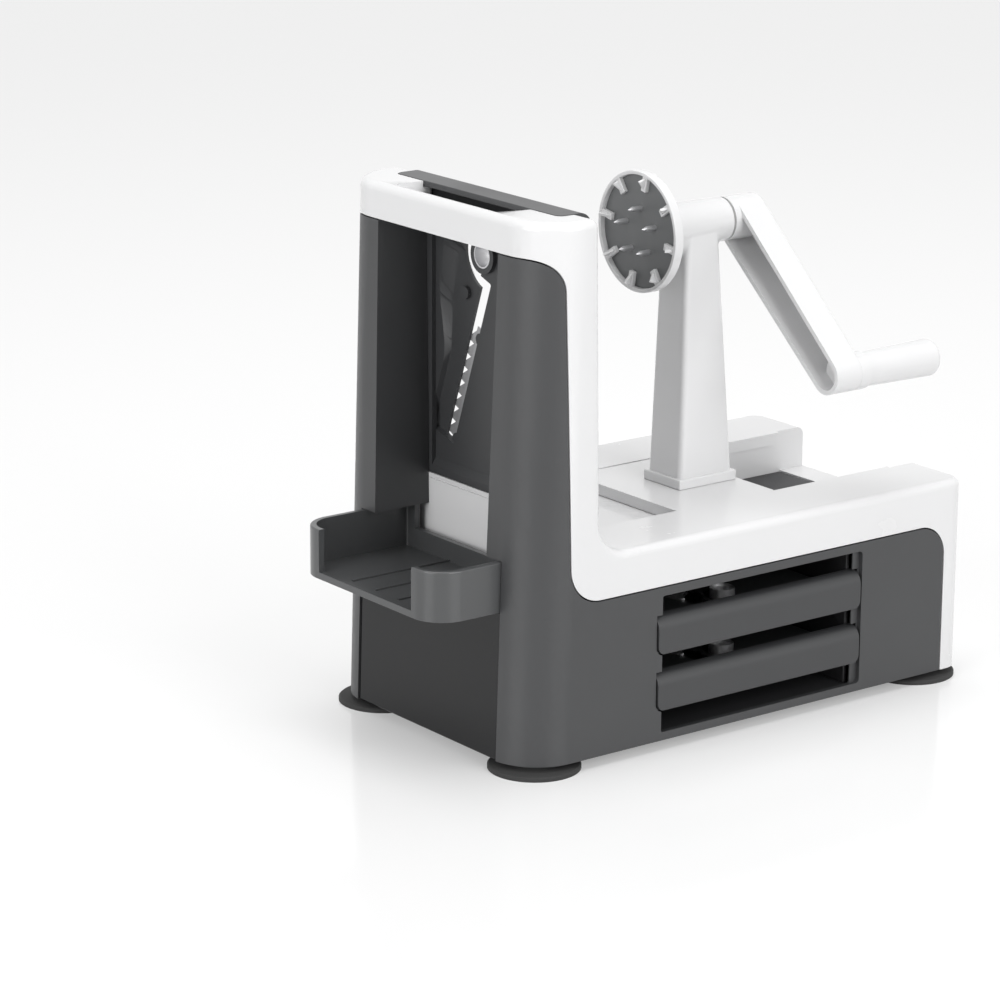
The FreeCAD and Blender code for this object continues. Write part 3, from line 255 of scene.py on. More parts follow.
def ground_steel(name, colour, roughness=0.22, along=(1.0, 1.0, 1.0)):
    """Ground steel: grinding lines along one direction and a slight colour drift."""
    made = bpy.data.materials.get(name)
    if made:
        return made
    made = bpy.data.materials.new(name)
    made.use_nodes = True
    tree = made.node_tree
    shader = tree.nodes["Principled BSDF"]
    where = tree.nodes.new("ShaderNodeTexCoord")
    stretch = tree.nodes.new("ShaderNodeMapping")
    stretch.inputs["Scale"].default_value = along
    lines = node(tree, "ShaderNodeTexNoise", scale=1400.0, detail=4.0)
    marks = place_group(tree, handling_group(), roughness=roughness, roughness_change=0.12,
                        scale=60.0)
    marks.inputs["Color"].default_value = rgba(colour)
    marks.inputs["Worn Color"].default_value = rgba(colour, 0.82)
    bump = node(tree, "ShaderNodeBump", strength=0.6, distance=0.01 * MM)
    link = tree.links.new
    link(where.outputs["Object"], stretch.inputs["Vector"])
    link(stretch.outputs["Vector"], lines.inputs["Vector"])
    link(where.outputs["Object"], marks.inputs["Vector"])
    link(marks.outputs["Color"], shader.inputs["Base Color"])
    link(marks.outputs["Roughness"], shader.inputs["Roughness"])
    link(lines.outputs["Fac"], bump.inputs["Height"])
    link(bump.outputs["Normal"], shader.inputs["Normal"])
    shader.inputs["Metallic"].default_value = 1.0
    return made


def shell_white():
    return moulded("shell_white", colours().shell, 0.22, change=0.06, worn=0.985,
                   grain=500.0, depth=0.006, swell_share=1.2, coat=0.25)


def housing_grey():
    return moulded("housing_grey", colours().housing, 0.40, change=0.06, worn=0.94,
                   grain=2600.0, depth=0.012, swell_share=0.2)


def panel_gloss():
    return moulded("panel_gloss", colours().panel, 0.10, change=0.05, worn=0.9,
                   grain=300.0, depth=0.004, swell_share=1.5, specular=0.28)


def inner_dark():
    return moulded("inner_dark", colours().inside, 0.5, grain=1500.0, depth=0.02)


def tray_grey():
    return moulded("tray_grey", colours().tray, 0.28, change=0.08, worn=0.93,
                   grain=900.0, depth=0.008, coat=0.15)


def cartridge_grey():
    return moulded("cartridge_grey", colours().cartridge, 0.36, change=0.08, worn=0.93,
                   grain=2200.0, depth=0.012)


# Painted shade: the disc's grey is darker than its own tone, standing in for the shade of the held
# vegetable.
def holder_shaded_grey():
    return moulded("holder_shaded_grey", colours().holder, 0.34, change=0.08, worn=0.9,
                   grain=1600.0, depth=0.012)


def foot_rubber():
    return moulded("foot_rubber", colours().rubber, 0.55, change=0.15, worn=1.6,
                   grain=1200.0, depth=0.03)


def bearing_plastic():
    return moulded("bearing_plastic", (0.55, 0.54, 0.51), 0.35, grain=1600.0, depth=0.01)


def blade_steel():
    return ground_steel("blade_steel", colours().steel, 0.16, along=(1.0, 1.0, 0.08))


def screw_steel():
    return ground_steel("screw_steel", colours().steel, 0.3)


def colours():
    return bpy.context.scene.spiralizer_colours


def sizes():
    return bpy.context.scene.spiralizer_sizes


# Mesh helpers

FLAT_LIMIT = 0.02            # degrees; faces flatter than this are joined before rounding


def link_object(name, mesh):
    made = bpy.data.objects.new(name, mesh)
    bpy.context.scene.collection.objects.link(made)
    return made


def mark_edges(work, sharp_degrees):
    limit = math.radians(sharp_degrees)
    for face in work.faces:
        face.smooth = True
    for edge in work.edges:
        edge.smooth = len(edge.link_faces) == 2 and edge.calc_face_angle(0.0) < limit


def add_finish(made, rounding, sharp_degrees, segments):
    if rounding > 0.0:
        bevel = made.modifiers.new("rounded edges", "BEVEL")
        bevel.width = rounding
        bevel.segments = segments
        bevel.limit_method = "ANGLE"
        bevel.angle_limit = math.radians(sharp_degrees + 5.0)
        bevel.use_clamp_overlap = True
        bevel.miter_outer = "MITER_ARC"
    even = made.modifiers.new("even shading", "WEIGHTED_NORMAL")
    even.keep_sharp = True


def dressed_copy(cad_node, name, material, rounding=None, sharp_degrees=28.0, segments=2):
    """A merged copy of a CAD node with rounded free edges and even shading."""
    if rounding is None:
        rounding = sizes().edge_round
    work = bmesh.new()
    work.from_mesh(NODES[cad_node].data)
    bmesh.ops.remove_doubles(work, verts=work.verts, dist=0.002 * MM)
    bmesh.ops.dissolve_limit(work, angle_limit=math.radians(FLAT_LIMIT), verts=work.verts,
                             edges=work.edges)
    mark_edges(work, sharp_degrees)
    mesh = bpy.data.meshes.new(name)
    work.to_mesh(mesh)
    work.free()
    mesh.materials.clear()
    mesh.materials.append(material)
    made = link_object(name, mesh)
    add_finish(made, rounding, sharp_degrees, segments)
    return made


def show(cad_node, name, body, slot, material, **options):
    """Puts a dressed copy in place of a CAD node."""
    made = dressed_copy(cad_node, name, material, **options)
    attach(made, body)
    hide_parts(cad_node)
    return made


# Geometry node helpers

SCREW_SIDES = 28
SHANK_SIDES = 16
CROWN_SHARE = 0.5            # cone's part of the head's height
CROWN_TOP = 0.78             # cone's top radius by the head's radius
RIM_SHARE = 0.56             # cylinder's part of the head's height
RIM_MIDDLE = -0.72           # its middle by the head's height, below the face
SHANK_SHARE = 0.96           # shank's part of the whole length
SHANK_MIDDLE = -0.52
SLOT_LENGTH = 2.6            # by the head's radius, so that it runs out at both sides
SLOT_WIDTH = 0.26


def new_tree(name, inputs):
    """An empty geometry tree with a mesh in and out, and named inputs for its sizes."""
    tree = bpy.data.node_groups.new(name, "GeometryNodeTree")
    tree.interface.new_socket("Geometry", in_out="INPUT", socket_type="NodeSocketGeometry")
    for label, kind in inputs:
        tree.interface.new_socket(label, in_out="INPUT", socket_type=kind)
    tree.interface.new_socket("Material", in_out="INPUT", socket_type="NodeSocketMaterial")
    tree.interface.new_socket("Geometry", in_out="OUTPUT", socket_type="NodeSocketGeometry")
    return tree, tree.nodes.new("NodeGroupInput").outputs


def put(tree, kind, sockets=(), **properties):
    """Adds a geometry node; each socket takes a value or a link from another socket."""
    made = tree.nodes.new(kind)
    for name, value in properties.items():
        setattr(made, name, value)
    for key, value in dict(sockets).items():
        if isinstance(value, bpy.types.NodeSocket):
            tree.links.new(value, made.inputs[key])
        else:
            made.inputs[key].default_value = value
    return made


def times(tree, a, b):
    return put(tree, "ShaderNodeMath", {0: a, 1: b}, operation="MULTIPLY").outputs[0]


def vector(tree, x=0.0, y=0.0, z=0.0):
    return put(tree, "ShaderNodeCombineXYZ", {"X": x, "Y": y, "Z": z}).outputs[0]


def moved(tree, shape, place):
    sockets = {"Geometry": shape, "Translation": place}
    return put(tree, "GeometryNodeTransform", sockets).outputs["Geometry"]


def cylinder(tree, radius, depth, middle_z, sides=SCREW_SIDES):
    """A closed cylinder along Z round a middle height."""
    made = put(tree, "GeometryNodeMeshCylinder",
               {"Vertices": sides, "Radius": radius, "Depth": depth})
    return moved(tree, made.outputs["Mesh"], vector(tree, z=middle_z))


def united(tree, shapes):
    made = put(tree, "GeometryNodeMeshBoolean", operation="UNION")
    for shape in shapes:
        tree.links.new(shape, made.inputs[1])
    return made.outputs["Mesh"]


def close_tree(tree, given, shape):
    """Ends a tree: real meshes instead of instances, and the piece's material."""
    real = put(tree, "GeometryNodeRealizeInstances", {"Geometry": shape}).outputs[0]
    painted = put(tree, "GeometryNodeSetMaterial",
                  {"Geometry": real, "Material": given["Material"]})
    sink = tree.nodes.new("NodeGroupOutput")
    tree.links.new(painted.outputs["Geometry"], sink.inputs["Geometry"])
    return tree


def slotted_screw_tree():
    """Slotted screws, one at each point of the mesh, with the head's face on the point."""
    made = bpy.data.node_groups.get("slotted_screws")
    if made:
        return made
    tree, given = new_tree("slotted_screws", [
        ("Head Radius", "NodeSocketFloat"), ("Head Height", "NodeSocketFloat"),
        ("Shank Radius", "NodeSocketFloat"), ("Length", "NodeSocketFloat"),
        ("Slot Width", "NodeSocketFloat"), ("Direction", "NodeSocketVector")])
    radius, height, length = given["Head Radius"], given["Head Height"], given["Length"]
    rim = cylinder(tree, radius, times(tree, height, RIM_SHARE), times(tree, height, RIM_MIDDLE))
    crown = put(tree, "GeometryNodeMeshCone", {
        "Vertices": SCREW_SIDES, "Radius Bottom": radius,
        "Radius Top": times(tree, radius, CROWN_TOP),
        "Depth": times(tree, height, CROWN_SHARE)}).outputs["Mesh"]
    crown = moved(tree, crown, vector(tree, z=times(tree, height, -CROWN_SHARE)))
    shank = cylinder(tree, given["Shank Radius"], times(tree, length, SHANK_SHARE),
                     times(tree, length, SHANK_MIDDLE), sides=SHANK_SIDES)
    slot_size = vector(tree, times(tree, radius, SLOT_LENGTH), given["Slot Width"], height)
    slot = put(tree, "GeometryNodeMeshCube", {"Size": slot_size}).outputs["Mesh"]
    cut = put(tree, "GeometryNodeMeshBoolean", {0: united(tree, (rim, crown, shank))},
              operation="DIFFERENCE")
    tree.links.new(slot, cut.inputs[1])
    turn = put(tree, "FunctionNodeAlignRotationToVector", {"Vector": given["Direction"]}, axis="Z")
    placed = put(tree, "GeometryNodeInstanceOnPoints", {
        "Points": given["Geometry"], "Instance": cut.outputs["Mesh"],
        "Rotation": turn.outputs["Rotation"]})
    return close_tree(tree, given, placed.outputs["Instances"])


def stud_tree():
    """Plain studs along Z with a hexagon nut near the top, one at each point of the mesh."""
    tree, given = new_tree("studs_with_nuts", [
        ("Stem Radius", "NodeSocketFloat"), ("Length", "NodeSocketFloat"),
        ("Nut Radius", "NodeSocketFloat"), ("Nut Height", "NodeSocketFloat"),
        ("Nut Middle", "NodeSocketFloat")])
    stem = cylinder(tree, given["Stem Radius"], given["Length"], times(tree, given["Length"], 0.5))
    nut = cylinder(tree, given["Nut Radius"], given["Nut Height"], given["Nut Middle"], sides=6)
    placed = put(tree, "GeometryNodeInstanceOnPoints", {
        "Points": given["Geometry"], "Instance": united(tree, (stem, nut))})
    return close_tree(tree, given, placed.outputs["Instances"])


def round_axis_tree(name, with_ring):
    """Copies of the mesh turned round the X axis, with or without a rounded ring."""
    inputs = [("Count", "NodeSocketInt"), ("First Angle", "NodeSocketFloat"),
              ("Axis", "NodeSocketVector")]
    if with_ring:
        inputs += [("Ring Radius", "NodeSocketFloat"), ("Ring Width", "NodeSocketFloat"),
                   ("Ring Depth", "NodeSocketFloat"), ("Ring Rounding", "NodeSocketFloat")]
    tree, given = new_tree(name, inputs)
    points = put(tree, "GeometryNodePoints", {"Count": given["Count"]}).outputs[0]
    index = put(tree, "GeometryNodeInputIndex").outputs[0]
    step = put(tree, "ShaderNodeMath", {0: 2.0 * math.pi, 1: given["Count"]}, operation="DIVIDE")
    angle = put(tree, "ShaderNodeMath", {0: index, 1: step.outputs[0], 2: given["First Angle"]},
                operation="MULTIPLY_ADD").outputs[0]
    placed = put(tree, "GeometryNodeInstanceOnPoints", {
        "Points": points, "Instance": given["Geometry"], "Rotation": vector(tree, x=angle)})
    shapes = [placed.outputs["Instances"]]
    if with_ring:
        path = put(tree, "GeometryNodeCurvePrimitiveCircle", {
            "Resolution": RIM_STEPS, "Radius": given["Ring Radius"]}).outputs["Curve"]
        section = put(tree, "GeometryNodeCurvePrimitiveQuadrilateral", {
            "Width": given["Ring Width"], "Height": given["Ring Depth"]}).outputs["Curve"]
        rounded = put(tree, "GeometryNodeFilletCurve", {
            "Curve": section, "Count": 3, "Radius": given["Ring Rounding"]}, mode="POLY")
        ring = put(tree, "GeometryNodeCurveToMesh",
                   {"Curve": path, "Profile Curve": rounded.outputs[0]})
        upright = put(tree, "GeometryNodeTransform", {
            "Geometry": ring.outputs["Mesh"], "Rotation": (0.0, math.pi / 2.0, 0.0)})
        shapes.append(upright.outputs["Geometry"])
    whole = put(tree, "GeometryNodeJoinGeometry")
    for shape in shapes:
        tree.links.new(shape, whole.inputs["Geometry"])
    return close_tree(tree, given, moved(tree, whole.outputs["Geometry"], given["Axis"]))


def comb_tree():
    """A flat strip along X with copies of the mesh, one tooth, in a row on its edge."""
    made = bpy.data.node_groups.get("comb_row")
    if made:
        return made
    tree, given = new_tree("comb_row", [
        ("Count", "NodeSocketInt"), ("Pitch", "NodeSocketFloat"),
        ("First Tooth", "NodeSocketVector"), ("Strip Size", "NodeSocketVector"),
        ("Strip Middle", "NodeSocketVector")])
    strip = put(tree, "GeometryNodeMeshCube", {"Size": given["Strip Size"]}).outputs["Mesh"]
    row = put(tree, "GeometryNodeMeshLine", {
        "Count": given["Count"], "Start Location": given["First Tooth"],
        "Offset": vector(tree, x=given["Pitch"])}, mode="OFFSET")
    teeth = put(tree, "GeometryNodeInstanceOnPoints", {
        "Points": row.outputs["Mesh"], "Instance": given["Geometry"]})
    whole = put(tree, "GeometryNodeJoinGeometry")
    tree.links.new(moved(tree, strip, given["Strip Middle"]), whole.inputs["Geometry"])
    tree.links.new(teeth.outputs["Instances"], whole.inputs["Geometry"])
    return close_tree(tree, given, whole.outputs["Geometry"])


def grow(name, tree, seed_mesh, values, material):
    """Runs a geometry tree over a mesh and keeps the result as a plain mesh."""
    made = link_object(name, seed_mesh)
    run = made.modifiers.new("build", "NODES")
    run.node_group = tree
    keys = {item.name: item.identifier for item in tree.interface.items_tree
            if item.in_out == "INPUT"}
    for label, value in values.items():
        run[keys[label]] = value
    run[keys["Material"]] = material
    graph = bpy.context.evaluated_depsgraph_get()
    result = bpy.data.meshes.new_from_object(made.evaluated_get(graph))
    result.validate()
    made.modifiers.clear()
    made.data = result
    result.name = name
    bpy.data.meshes.remove(seed_mesh)
    return made


def points_mesh(name, places):
    mesh = bpy.data.meshes.new(name)
    mesh.from_pydata([tuple(place) for place in places], [], [])
    return mesh


def prism_mesh(name, outline, axis, low, high):
    """A closed prism over an outline of 2-D points, from low to high along an axis."""
    others = [i for i in range(3) if i != axis]
    corners = []
    for level in (low, high):
        for a, b in outline:
            corner = [0.0, 0.0, 0.0]
            corner[axis] = level
            corner[others[0]] = a
            corner[others[1]] = b
            corners.append(corner)
    count = len(outline)
    faces = [tuple(range(count)), tuple(range(2 * count - 1, count - 1, -1))]
    faces += [(i, i + count, (i + 1) % count + count, (i + 1) % count) for i in range(count)]
    mesh = bpy.data.meshes.new(name)
    mesh.from_pydata(corners, [], faces)
    work = bmesh.new()
    work.from_mesh(mesh)
    bmesh.ops.recalc_face_normals(work, faces=work.faces)
    work.to_mesh(mesh)
    work.free()
    return mesh


def islands(cad_node):
    """The lowest and highest corner of each separate solid of a CAD node."""
    work = bmesh.new()
    work.from_mesh(NODES[cad_node].data)
    bmesh.ops.remove_doubles(work, verts=work.verts, dist=0.002 * MM)
    left = set(work.verts)
    found = []
    while left:
        group = [left.pop()]
        for vert in group:
            near = {edge.other_vert(vert) for edge in vert.link_edges} & left
            left -= near
            group.extend(near)
        found.append((Vector([min(v.co[i] for v in group) for i in range(3)]),
                      Vector([max(v.co[i] for v in group) for i in range(3)])))
    work.free()
    return sorted(found, key=lambda pair: tuple(pair[0]))


def finish_piece(made, cad_node, body, rounding=0.0, sharp_degrees=28.0):
    """Rounds and shades a grown piece and puts it in place of its CAD node."""
    work = bmesh.new()
    work.from_mesh(made.data)
    bmesh.ops.remove_doubles(work, verts=work.verts, dist=0.001 * MM)
    mark_edges(work, sharp_degrees)
    work.to_mesh(made.data)
    work.free()
    add_finish(made, rounding, sharp_degrees, 2)
    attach(made, body)
    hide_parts(cad_node)
    return made


def screws(cad_node, name, body, axis, side, head_share, shank_share=0.5):
    """Slotted screws at the places of a CAD node; side is where the heads are along the axis."""
    solids = islands(cad_node)
    low, high = solids[0]
    across = [i for i in range(3) if i != axis][0]
    radius = (high[across] - low[across]) / 2.0
    length = high[axis] - low[axis]
    places = []
    for low, high in solids:
        place = (low + high) / 2.0
        place[axis] = high[axis] if side > 0 else low[axis]
        places.append(place)
    direction = [0.0, 0.0, 0.0]
    direction[axis] = float(side)
    values = {"Head Radius": radius, "Head Height": length * head_share,
              "Shank Radius": radius * shank_share, "Length": length,
              "Slot Width": radius * SLOT_WIDTH, "Direction": direction}
    made = grow(name, slotted_screw_tree(), points_mesh(name + "_places", places), values,
                screw_steel())
    return finish_piece(made, cad_node, body)


# Stage

CAMERA_PLACE = (-1.10095, -1.3568, 0.5913)
CAMERA_YAW = 37.06
CAMERA_PITCH = 15.84
CAMERA_ROLL = 0.265
CAMERA_LENS = 136.8


def make_camera():
    yaw = math.radians(CAMERA_YAW)
    pitch = math.radians(CAMERA_PITCH)
    roll = math.radians(CAMERA_ROLL)
    ahead = Vector((math.cos(pitch) * math.sin(yaw), math.cos(pitch) * math.cos(yaw),
                    -math.sin(pitch)))
    right = ahead.cross(Vector((0, 0, 1))).normalized()
    up = right.cross(ahead)
    turned_right = right * math.cos(roll) + up * math.sin(roll)
    turned_up = up * math.cos(roll) - right * math.sin(roll)
    turn = Matrix((turned_right, turned_up, -ahead)).transposed()
    data = bpy.data.cameras.new("camera")
    data.lens = CAMERA_LENS
    data.sensor_width = 36.0
    data.clip_end = 20.0
    made = bpy.data.objects.new("camera", data)
    bpy.context.scene.collection.objects.link(made)
    made.matrix_world = Matrix.Translation(CAMERA_PLACE) @ turn.to_4x4()
    bpy.context.scene.camera = made


def seen_or_mirrored(tree):
    """1 for rays from the camera, a mirror or glass, and 0 for light falling on a surface."""
    path = tree.nodes.new("ShaderNodeLightPath")
    first = node(tree, "ShaderNodeMath", operation="MAXIMUM")
    second = node(tree, "ShaderNodeMath", operation="MAXIMUM")
    tree.links.new(path.outputs["Is Camera Ray"], first.inputs[0])
    tree.links.new(path.outputs["Is Glossy Ray"], first.inputs[1])
    tree.links.new(first.outputs[0], second.inputs[0])
    tree.links.new(path.outputs["Is Transmission Ray"], second.inputs[1])
    return second.outputs[0]


def make_world():
    world = bpy.data.worlds.new("pale room")
    bpy.context.scene.world = world
    world.use_nodes = True
    tree = world.node_tree
    back = tree.nodes["Background"]
    back.inputs["Color"].default_value = (1.0, 1.0, 1.0, 1.0)
    strength = node(tree, "ShaderNodeMapRange", to_min=0.30, to_max=1.0)
    tree.links.new(seen_or_mirrored(tree), strength.inputs["Value"])
    tree.links.new(strength.outputs["Result"], back.inputs["Strength"])


def make_floor():
    mesh = bpy.data.meshes.new("floor")
    half = 6.0
    mesh.from_pydata([(-half, -half, 0), (half, -half, 0), (half, half, 0), (-half, half, 0)],
                     [], [(0, 1, 2, 3)])
    floor = link_object("floor", mesh)
    surface = bpy.data.materials.new("pale floor")
    surface.use_nodes = True
    tree = surface.node_tree
    tree.nodes.clear()
    out = tree.nodes.new("ShaderNodeOutputMaterial")
    paint = node(tree, "ShaderNodeBsdfDiffuse")
    paint.inputs["Color"].default_value = (0.62, 0.62, 0.62, 1.0)
    shine = tree.nodes.new("ShaderNodeBsdfGlossy")
    shine.inputs["Color"].default_value = (1.0, 1.0, 1.0, 1.0)
    shine.inputs["Roughness"].default_value = 0.12
    angle = node(tree, "ShaderNodeFresnel", ior=1.25)
    blend = tree.nodes.new("ShaderNodeMixShader")
    glow = tree.nodes.new("ShaderNodeEmission")
    level = node(tree, "ShaderNodeMath", operation="MULTIPLY")
    level.inputs[1].default_value = 0.30
    total = tree.nodes.new("ShaderNodeAddShader")
    link = tree.links.new
    link(angle.outputs["Fac"], blend.inputs["Fac"])
    link(paint.outputs["BSDF"], blend.inputs[1])
    link(shine.outputs["BSDF"], blend.inputs[2])
    link(seen_or_mirrored(tree), level.inputs[0])
    link(level.outputs[0], glow.inputs["Strength"])
    link(blend.outputs["Shader"], total.inputs[0])
    link(glow.outputs["Emission"], total.inputs[1])
    link(total.outputs["Shader"], out.inputs["Surface"])
    mesh.materials.append(surface)


def make_lamp(name, place, aim, size, power):
    data = bpy.data.lights.new(name, "AREA")
    data.shape = "RECTANGLE"
    data.size, data.size_y = size
    data.energy = power * sizes().lamp_strength
    made = bpy.data.objects.new(name, data)
    bpy.context.scene.collection.objects.link(made)
    ahead = (Vector(aim) - Vector(place)).normalized()
    made.rotation_euler = ahead.to_track_quat("-Z", "Y").to_euler()
    made.location = place


class SPIRALIZER_OT_stage(bpy.types.Operator):
    """Make the camera, floor, room light and lamps"""

    bl_idname = "spiralizer.stage"
    bl_label = "Stage"

    def execute(self, context):
        context.scene.view_settings.view_transform = "Standard"
        make_camera()
        make_world()
        make_floor()
        make_lamp("left softbox", (-2.0, -0.3, 0.8), (0, 0, 0.12), (1.2, 1.2), 21.0)
        make_lamp("near softbox", (0.2, -2.1, 1.0), (0, 0, 0.12), (1.6, 1.4), 29.0)
        make_lamp("top softbox", (0.1, 0.1, 2.0), (0, 0, 0.1), (1.6, 1.6), 25.0)
        return {"FINISHED"}


# Pieces

class SPIRALIZER_OT_shell(bpy.types.Operator):
    """Dress the white frame, the grey housings, the front panel, base plate and rack"""

    bl_idname = "spiralizer.shell"
    bl_label = "Frame and housings"

    def execute(self, context):
        show("frame_shell", "frame", "base", "white_plastic", shell_white())
        show("near_side_housing", "near_housing", "base", "grey_plastic", housing_grey())
        show("far_side_housing", "far_housing", "base", "grey_plastic", housing_grey())
        show("front_panel", "front_plate", "base", "dark_gloss_plastic", panel_gloss())
        show("base_plate", "bottom_cover", "base", "dark_plastic", inner_dark())
        show("storage_rack", "rack", "base", "dark_plastic", inner_dark())
        return {"FINISHED"}


class SPIRALIZER_OT_tray(bpy.types.Operator):
    """Dress the catch tray"""

    bl_idname = "spiralizer.tray"
    bl_label = "Catch tray"

    def execute(self, context):
        show("catch_tray", "tray_moulding", "tray", "tray_plastic", tray_grey())
        return {"FINISHED"}


def stored_place(prefix):
    """Turns a piece of the fitted cartridge into its place in the store."""
    turn = Matrix(((0, -1, 0), (0, 0, -1), (1, 0, 0))).to_4x4()
    fitted_low, fitted_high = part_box("fitted_cartridge_frame")
    stored_low, stored_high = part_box(prefix + "_frame")
    middle = turn @ ((Vector(fitted_low) + Vector(fitted_high)) / 2.0)
    return Matrix.Translation((Vector(stored_low) + Vector(stored_high)) / 2.0 - middle) @ turn


def comb(prefix, pitch):
    """The steel comb of one cartridge, made as fitted and then laid in its place."""
    size = sizes()
    angle = size.blade_angle
    axis_low, axis_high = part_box("drive_shaft")
    comb_low, comb_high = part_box("fitted_cartridge_comb_blade")
    cos, sin = math.cos(angle), math.sin(angle)
    axis_y = (axis_low[1] + axis_high[1]) / 2.0
    axis_z = (axis_low[2] + axis_high[2]) / 2.0
    along = ((comb_high[1] - comb_low[1]), (comb_high[2] - comb_low[2]))
    across = (along[0] * cos - along[1] * sin) / (cos * cos - sin * sin)
    length = (along[1] * cos - along[0] * sin) / (cos * cos - sin * sin)
    thick = comb_high[0] - comb_low[0]
    start, root, tip = size.comb_start, size.comb_root, size.comb_tip
    back = tip - across
    tooth = [(0.05 * pitch, root - 0.1 * MM), (0.76 * pitch, tip), (0.98 * pitch, tip),
             (1.05 * pitch, root - 0.1 * MM)]
    seed = prism_mesh(prefix + "_tooth", tooth, 2, 0.0, thick)
    margin = 2.0 * MM
    count = int((length - margin) / pitch)
    values = {"Count": count, "Pitch": pitch, "First Tooth": (start + margin, 0.0, 0.0),
              "Strip Size": (length, root - back, thick),
              "Strip Middle": (start + length / 2.0, (root + back) / 2.0, thick / 2.0)}
    made = grow(prefix + "_comb_steel", comb_tree(), seed, values, blade_steel())
    place = Matrix(((0, 0, 1, comb_low[0]), (sin, cos, 0, axis_y),
                    (-cos, sin, 0, axis_z), (0, 0, 0, 1)))
    if prefix != "fitted_cartridge":
        place = stored_place(prefix) @ place
    made.data.transform(place)
    finish_piece(made, prefix + "_comb_blade", CARTRIDGES[prefix])


class SPIRALIZER_OT_cartridges(bpy.types.Operator):
    """Dress the three blade cartridges"""

    bl_idname = "spiralizer.cartridges"
    bl_label = "Blade cartridges"

    def execute(self, context):
        for prefix, body in CARTRIDGES.items():
            show(prefix + "_frame", prefix + "_moulding", body, "cartridge_plastic",
                 cartridge_grey(), rounding=0.3 * MM)
            for part in ("slicing_blade", "corer"):
                show(prefix + "_" + part, prefix + "_" + part + "_steel", body,
                     "blade_steel", blade_steel(), rounding=0.0)
            heads_along = 0 if prefix == "fitted_cartridge" else 2
            screws(prefix + "_blade_screws", prefix + "_screws", body, heads_along, 1, 0.22, 0.6)
        comb("fitted_cartridge", sizes().comb_pitch)
        comb("upper_stored_cartridge", sizes().comb_pitch / 2.0)
        return {"FINISHED"}


PLINTH_HEIGHT = 5.0 * MM
PLINTH_PROUD = 1.2 * MM


def tower_plinth():
    """Low step round the tower's foot."""
    work = bmesh.new()
    work.from_mesh(NODES["carriage_tower"].data)
    foot = min(vert.co.z for vert in work.verts)
    ring = [vert.co.copy() for vert in work.verts if vert.co.z < foot + 0.5 * MM]
    work.free()
    low = [min(co[i] for co in ring) - PLINTH_PROUD for i in range(2)]
    high = [max(co[i] for co in ring) + PLINTH_PROUD for i in range(2)]
    outline = [(low[0], low[1]), (high[0], low[1]), (high[0], high[1]), (low[0], high[1])]
    mesh = prism_mesh("tower_plinth", outline, 2, foot, foot + PLINTH_HEIGHT)
    mesh.materials.append(shell_white())
    made = link_object("tower_plinth", mesh)
    add_finish(made, 0.8 * MM, 28.0, 3)
    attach(made, "carriage")


class SPIRALIZER_OT_carriage(bpy.types.Operator):
    """Dress the sliding carriage with its tower and bearings"""

    bl_idname = "spiralizer.carriage"
    bl_label = "Carriage"

    def execute(self, context):
        show("carriage_sled", "sled", "carriage", "white_plastic", shell_white())
        show("carriage_tower", "tower", "carriage", "white_plastic", shell_white())
        tower_plinth()
        screws("tower_screws", "tower_fixings", "carriage", 2, -1, 0.12)
        for place in ("front", "rear"):
            show(place + "_bushing", place + "_bearing", "carriage", "bushing_plastic",
                 bearing_plastic(), rounding=0.2 * MM)
        return {"FINISHED"}


RIM_WIDTH = 1.9 * MM
RIM_STEPS = 96
RIM_ROUND = 0.6 * MM
RIB_WIDTH = 3.4 * MM
RIB_REACH = 9.0 * MM         # from the rim's outside inwards
RIB_FACE = 0.4 * MM          # rim's front to the ribs' front
RIB_BACK = 2.6 * MM
PRONG_HEIGHT = 3.6 * MM
PRONG_HALF = 0.7 * MM
SPIKE_POINT = 3.0 * MM       # length of the cone
SPIKE_NOSE = 0.25 * MM
SPIKE_NOSE_RADIUS = 0.16 * MM
SPIKE_SIDES = 20


def crank_axis():
    low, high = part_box("drive_shaft")
    return (low[1] + high[1]) / 2.0, (low[2] + high[2]) / 2.0


def toothed_rim():
    """Rounded ring with ribs on its inside, each with a small prong towards the blade."""
    low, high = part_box("holder_rim")
    radius = (high[1] - low[1]) / 2.0
    y, z = crank_axis()
    front = low[0] + PRONG_HEIGHT - 0.5 * MM
    depth = high[0] - front
    face = front + RIB_FACE
    back = front + RIB_BACK
    inner = radius - RIB_REACH
    outer = radius - RIM_WIDTH * 0.6
    half = RIB_WIDTH / 2.0
    work = bmesh.new()
    outline = [(-outer, -half), (-inner, -half), (-inner, half), (-outer, half)]
    rib = prism_mesh("rib", outline, 0, face, back)
    prong_foot = -radius + RIM_WIDTH + 0.6 * MM
    prong_root = face + 0.1 * MM
    outline = [(prong_root, prong_foot), (prong_root, -inner - 1.0 * MM),
               (low[0], prong_foot + 1.2 * MM)]
    prong = prism_mesh("prong", outline, 2, -PRONG_HALF, PRONG_HALF)
    work.from_mesh(rib)
    work.from_mesh(prong)
    work.to_mesh(rib)
    work.free()
    bpy.data.meshes.remove(prong)
    middle = front + depth / 2.0
    rib.transform(Matrix.Translation((-middle, 0, 0)))
    values = {"Count": sizes().rim_ribs, "First Angle": -sizes().first_rib,
              "Axis": (middle, y, z), "Ring Radius": radius - RIM_WIDTH / 2.0,
              "Ring Width": RIM_WIDTH, "Ring Depth": depth, "Ring Rounding": RIM_ROUND}
    made = grow("toothed_rim", round_axis_tree("ribbed_ring", True), rib, values, shell_white())
    finish_piece(made, "holder_rim", "crank", rounding=0.25 * MM)


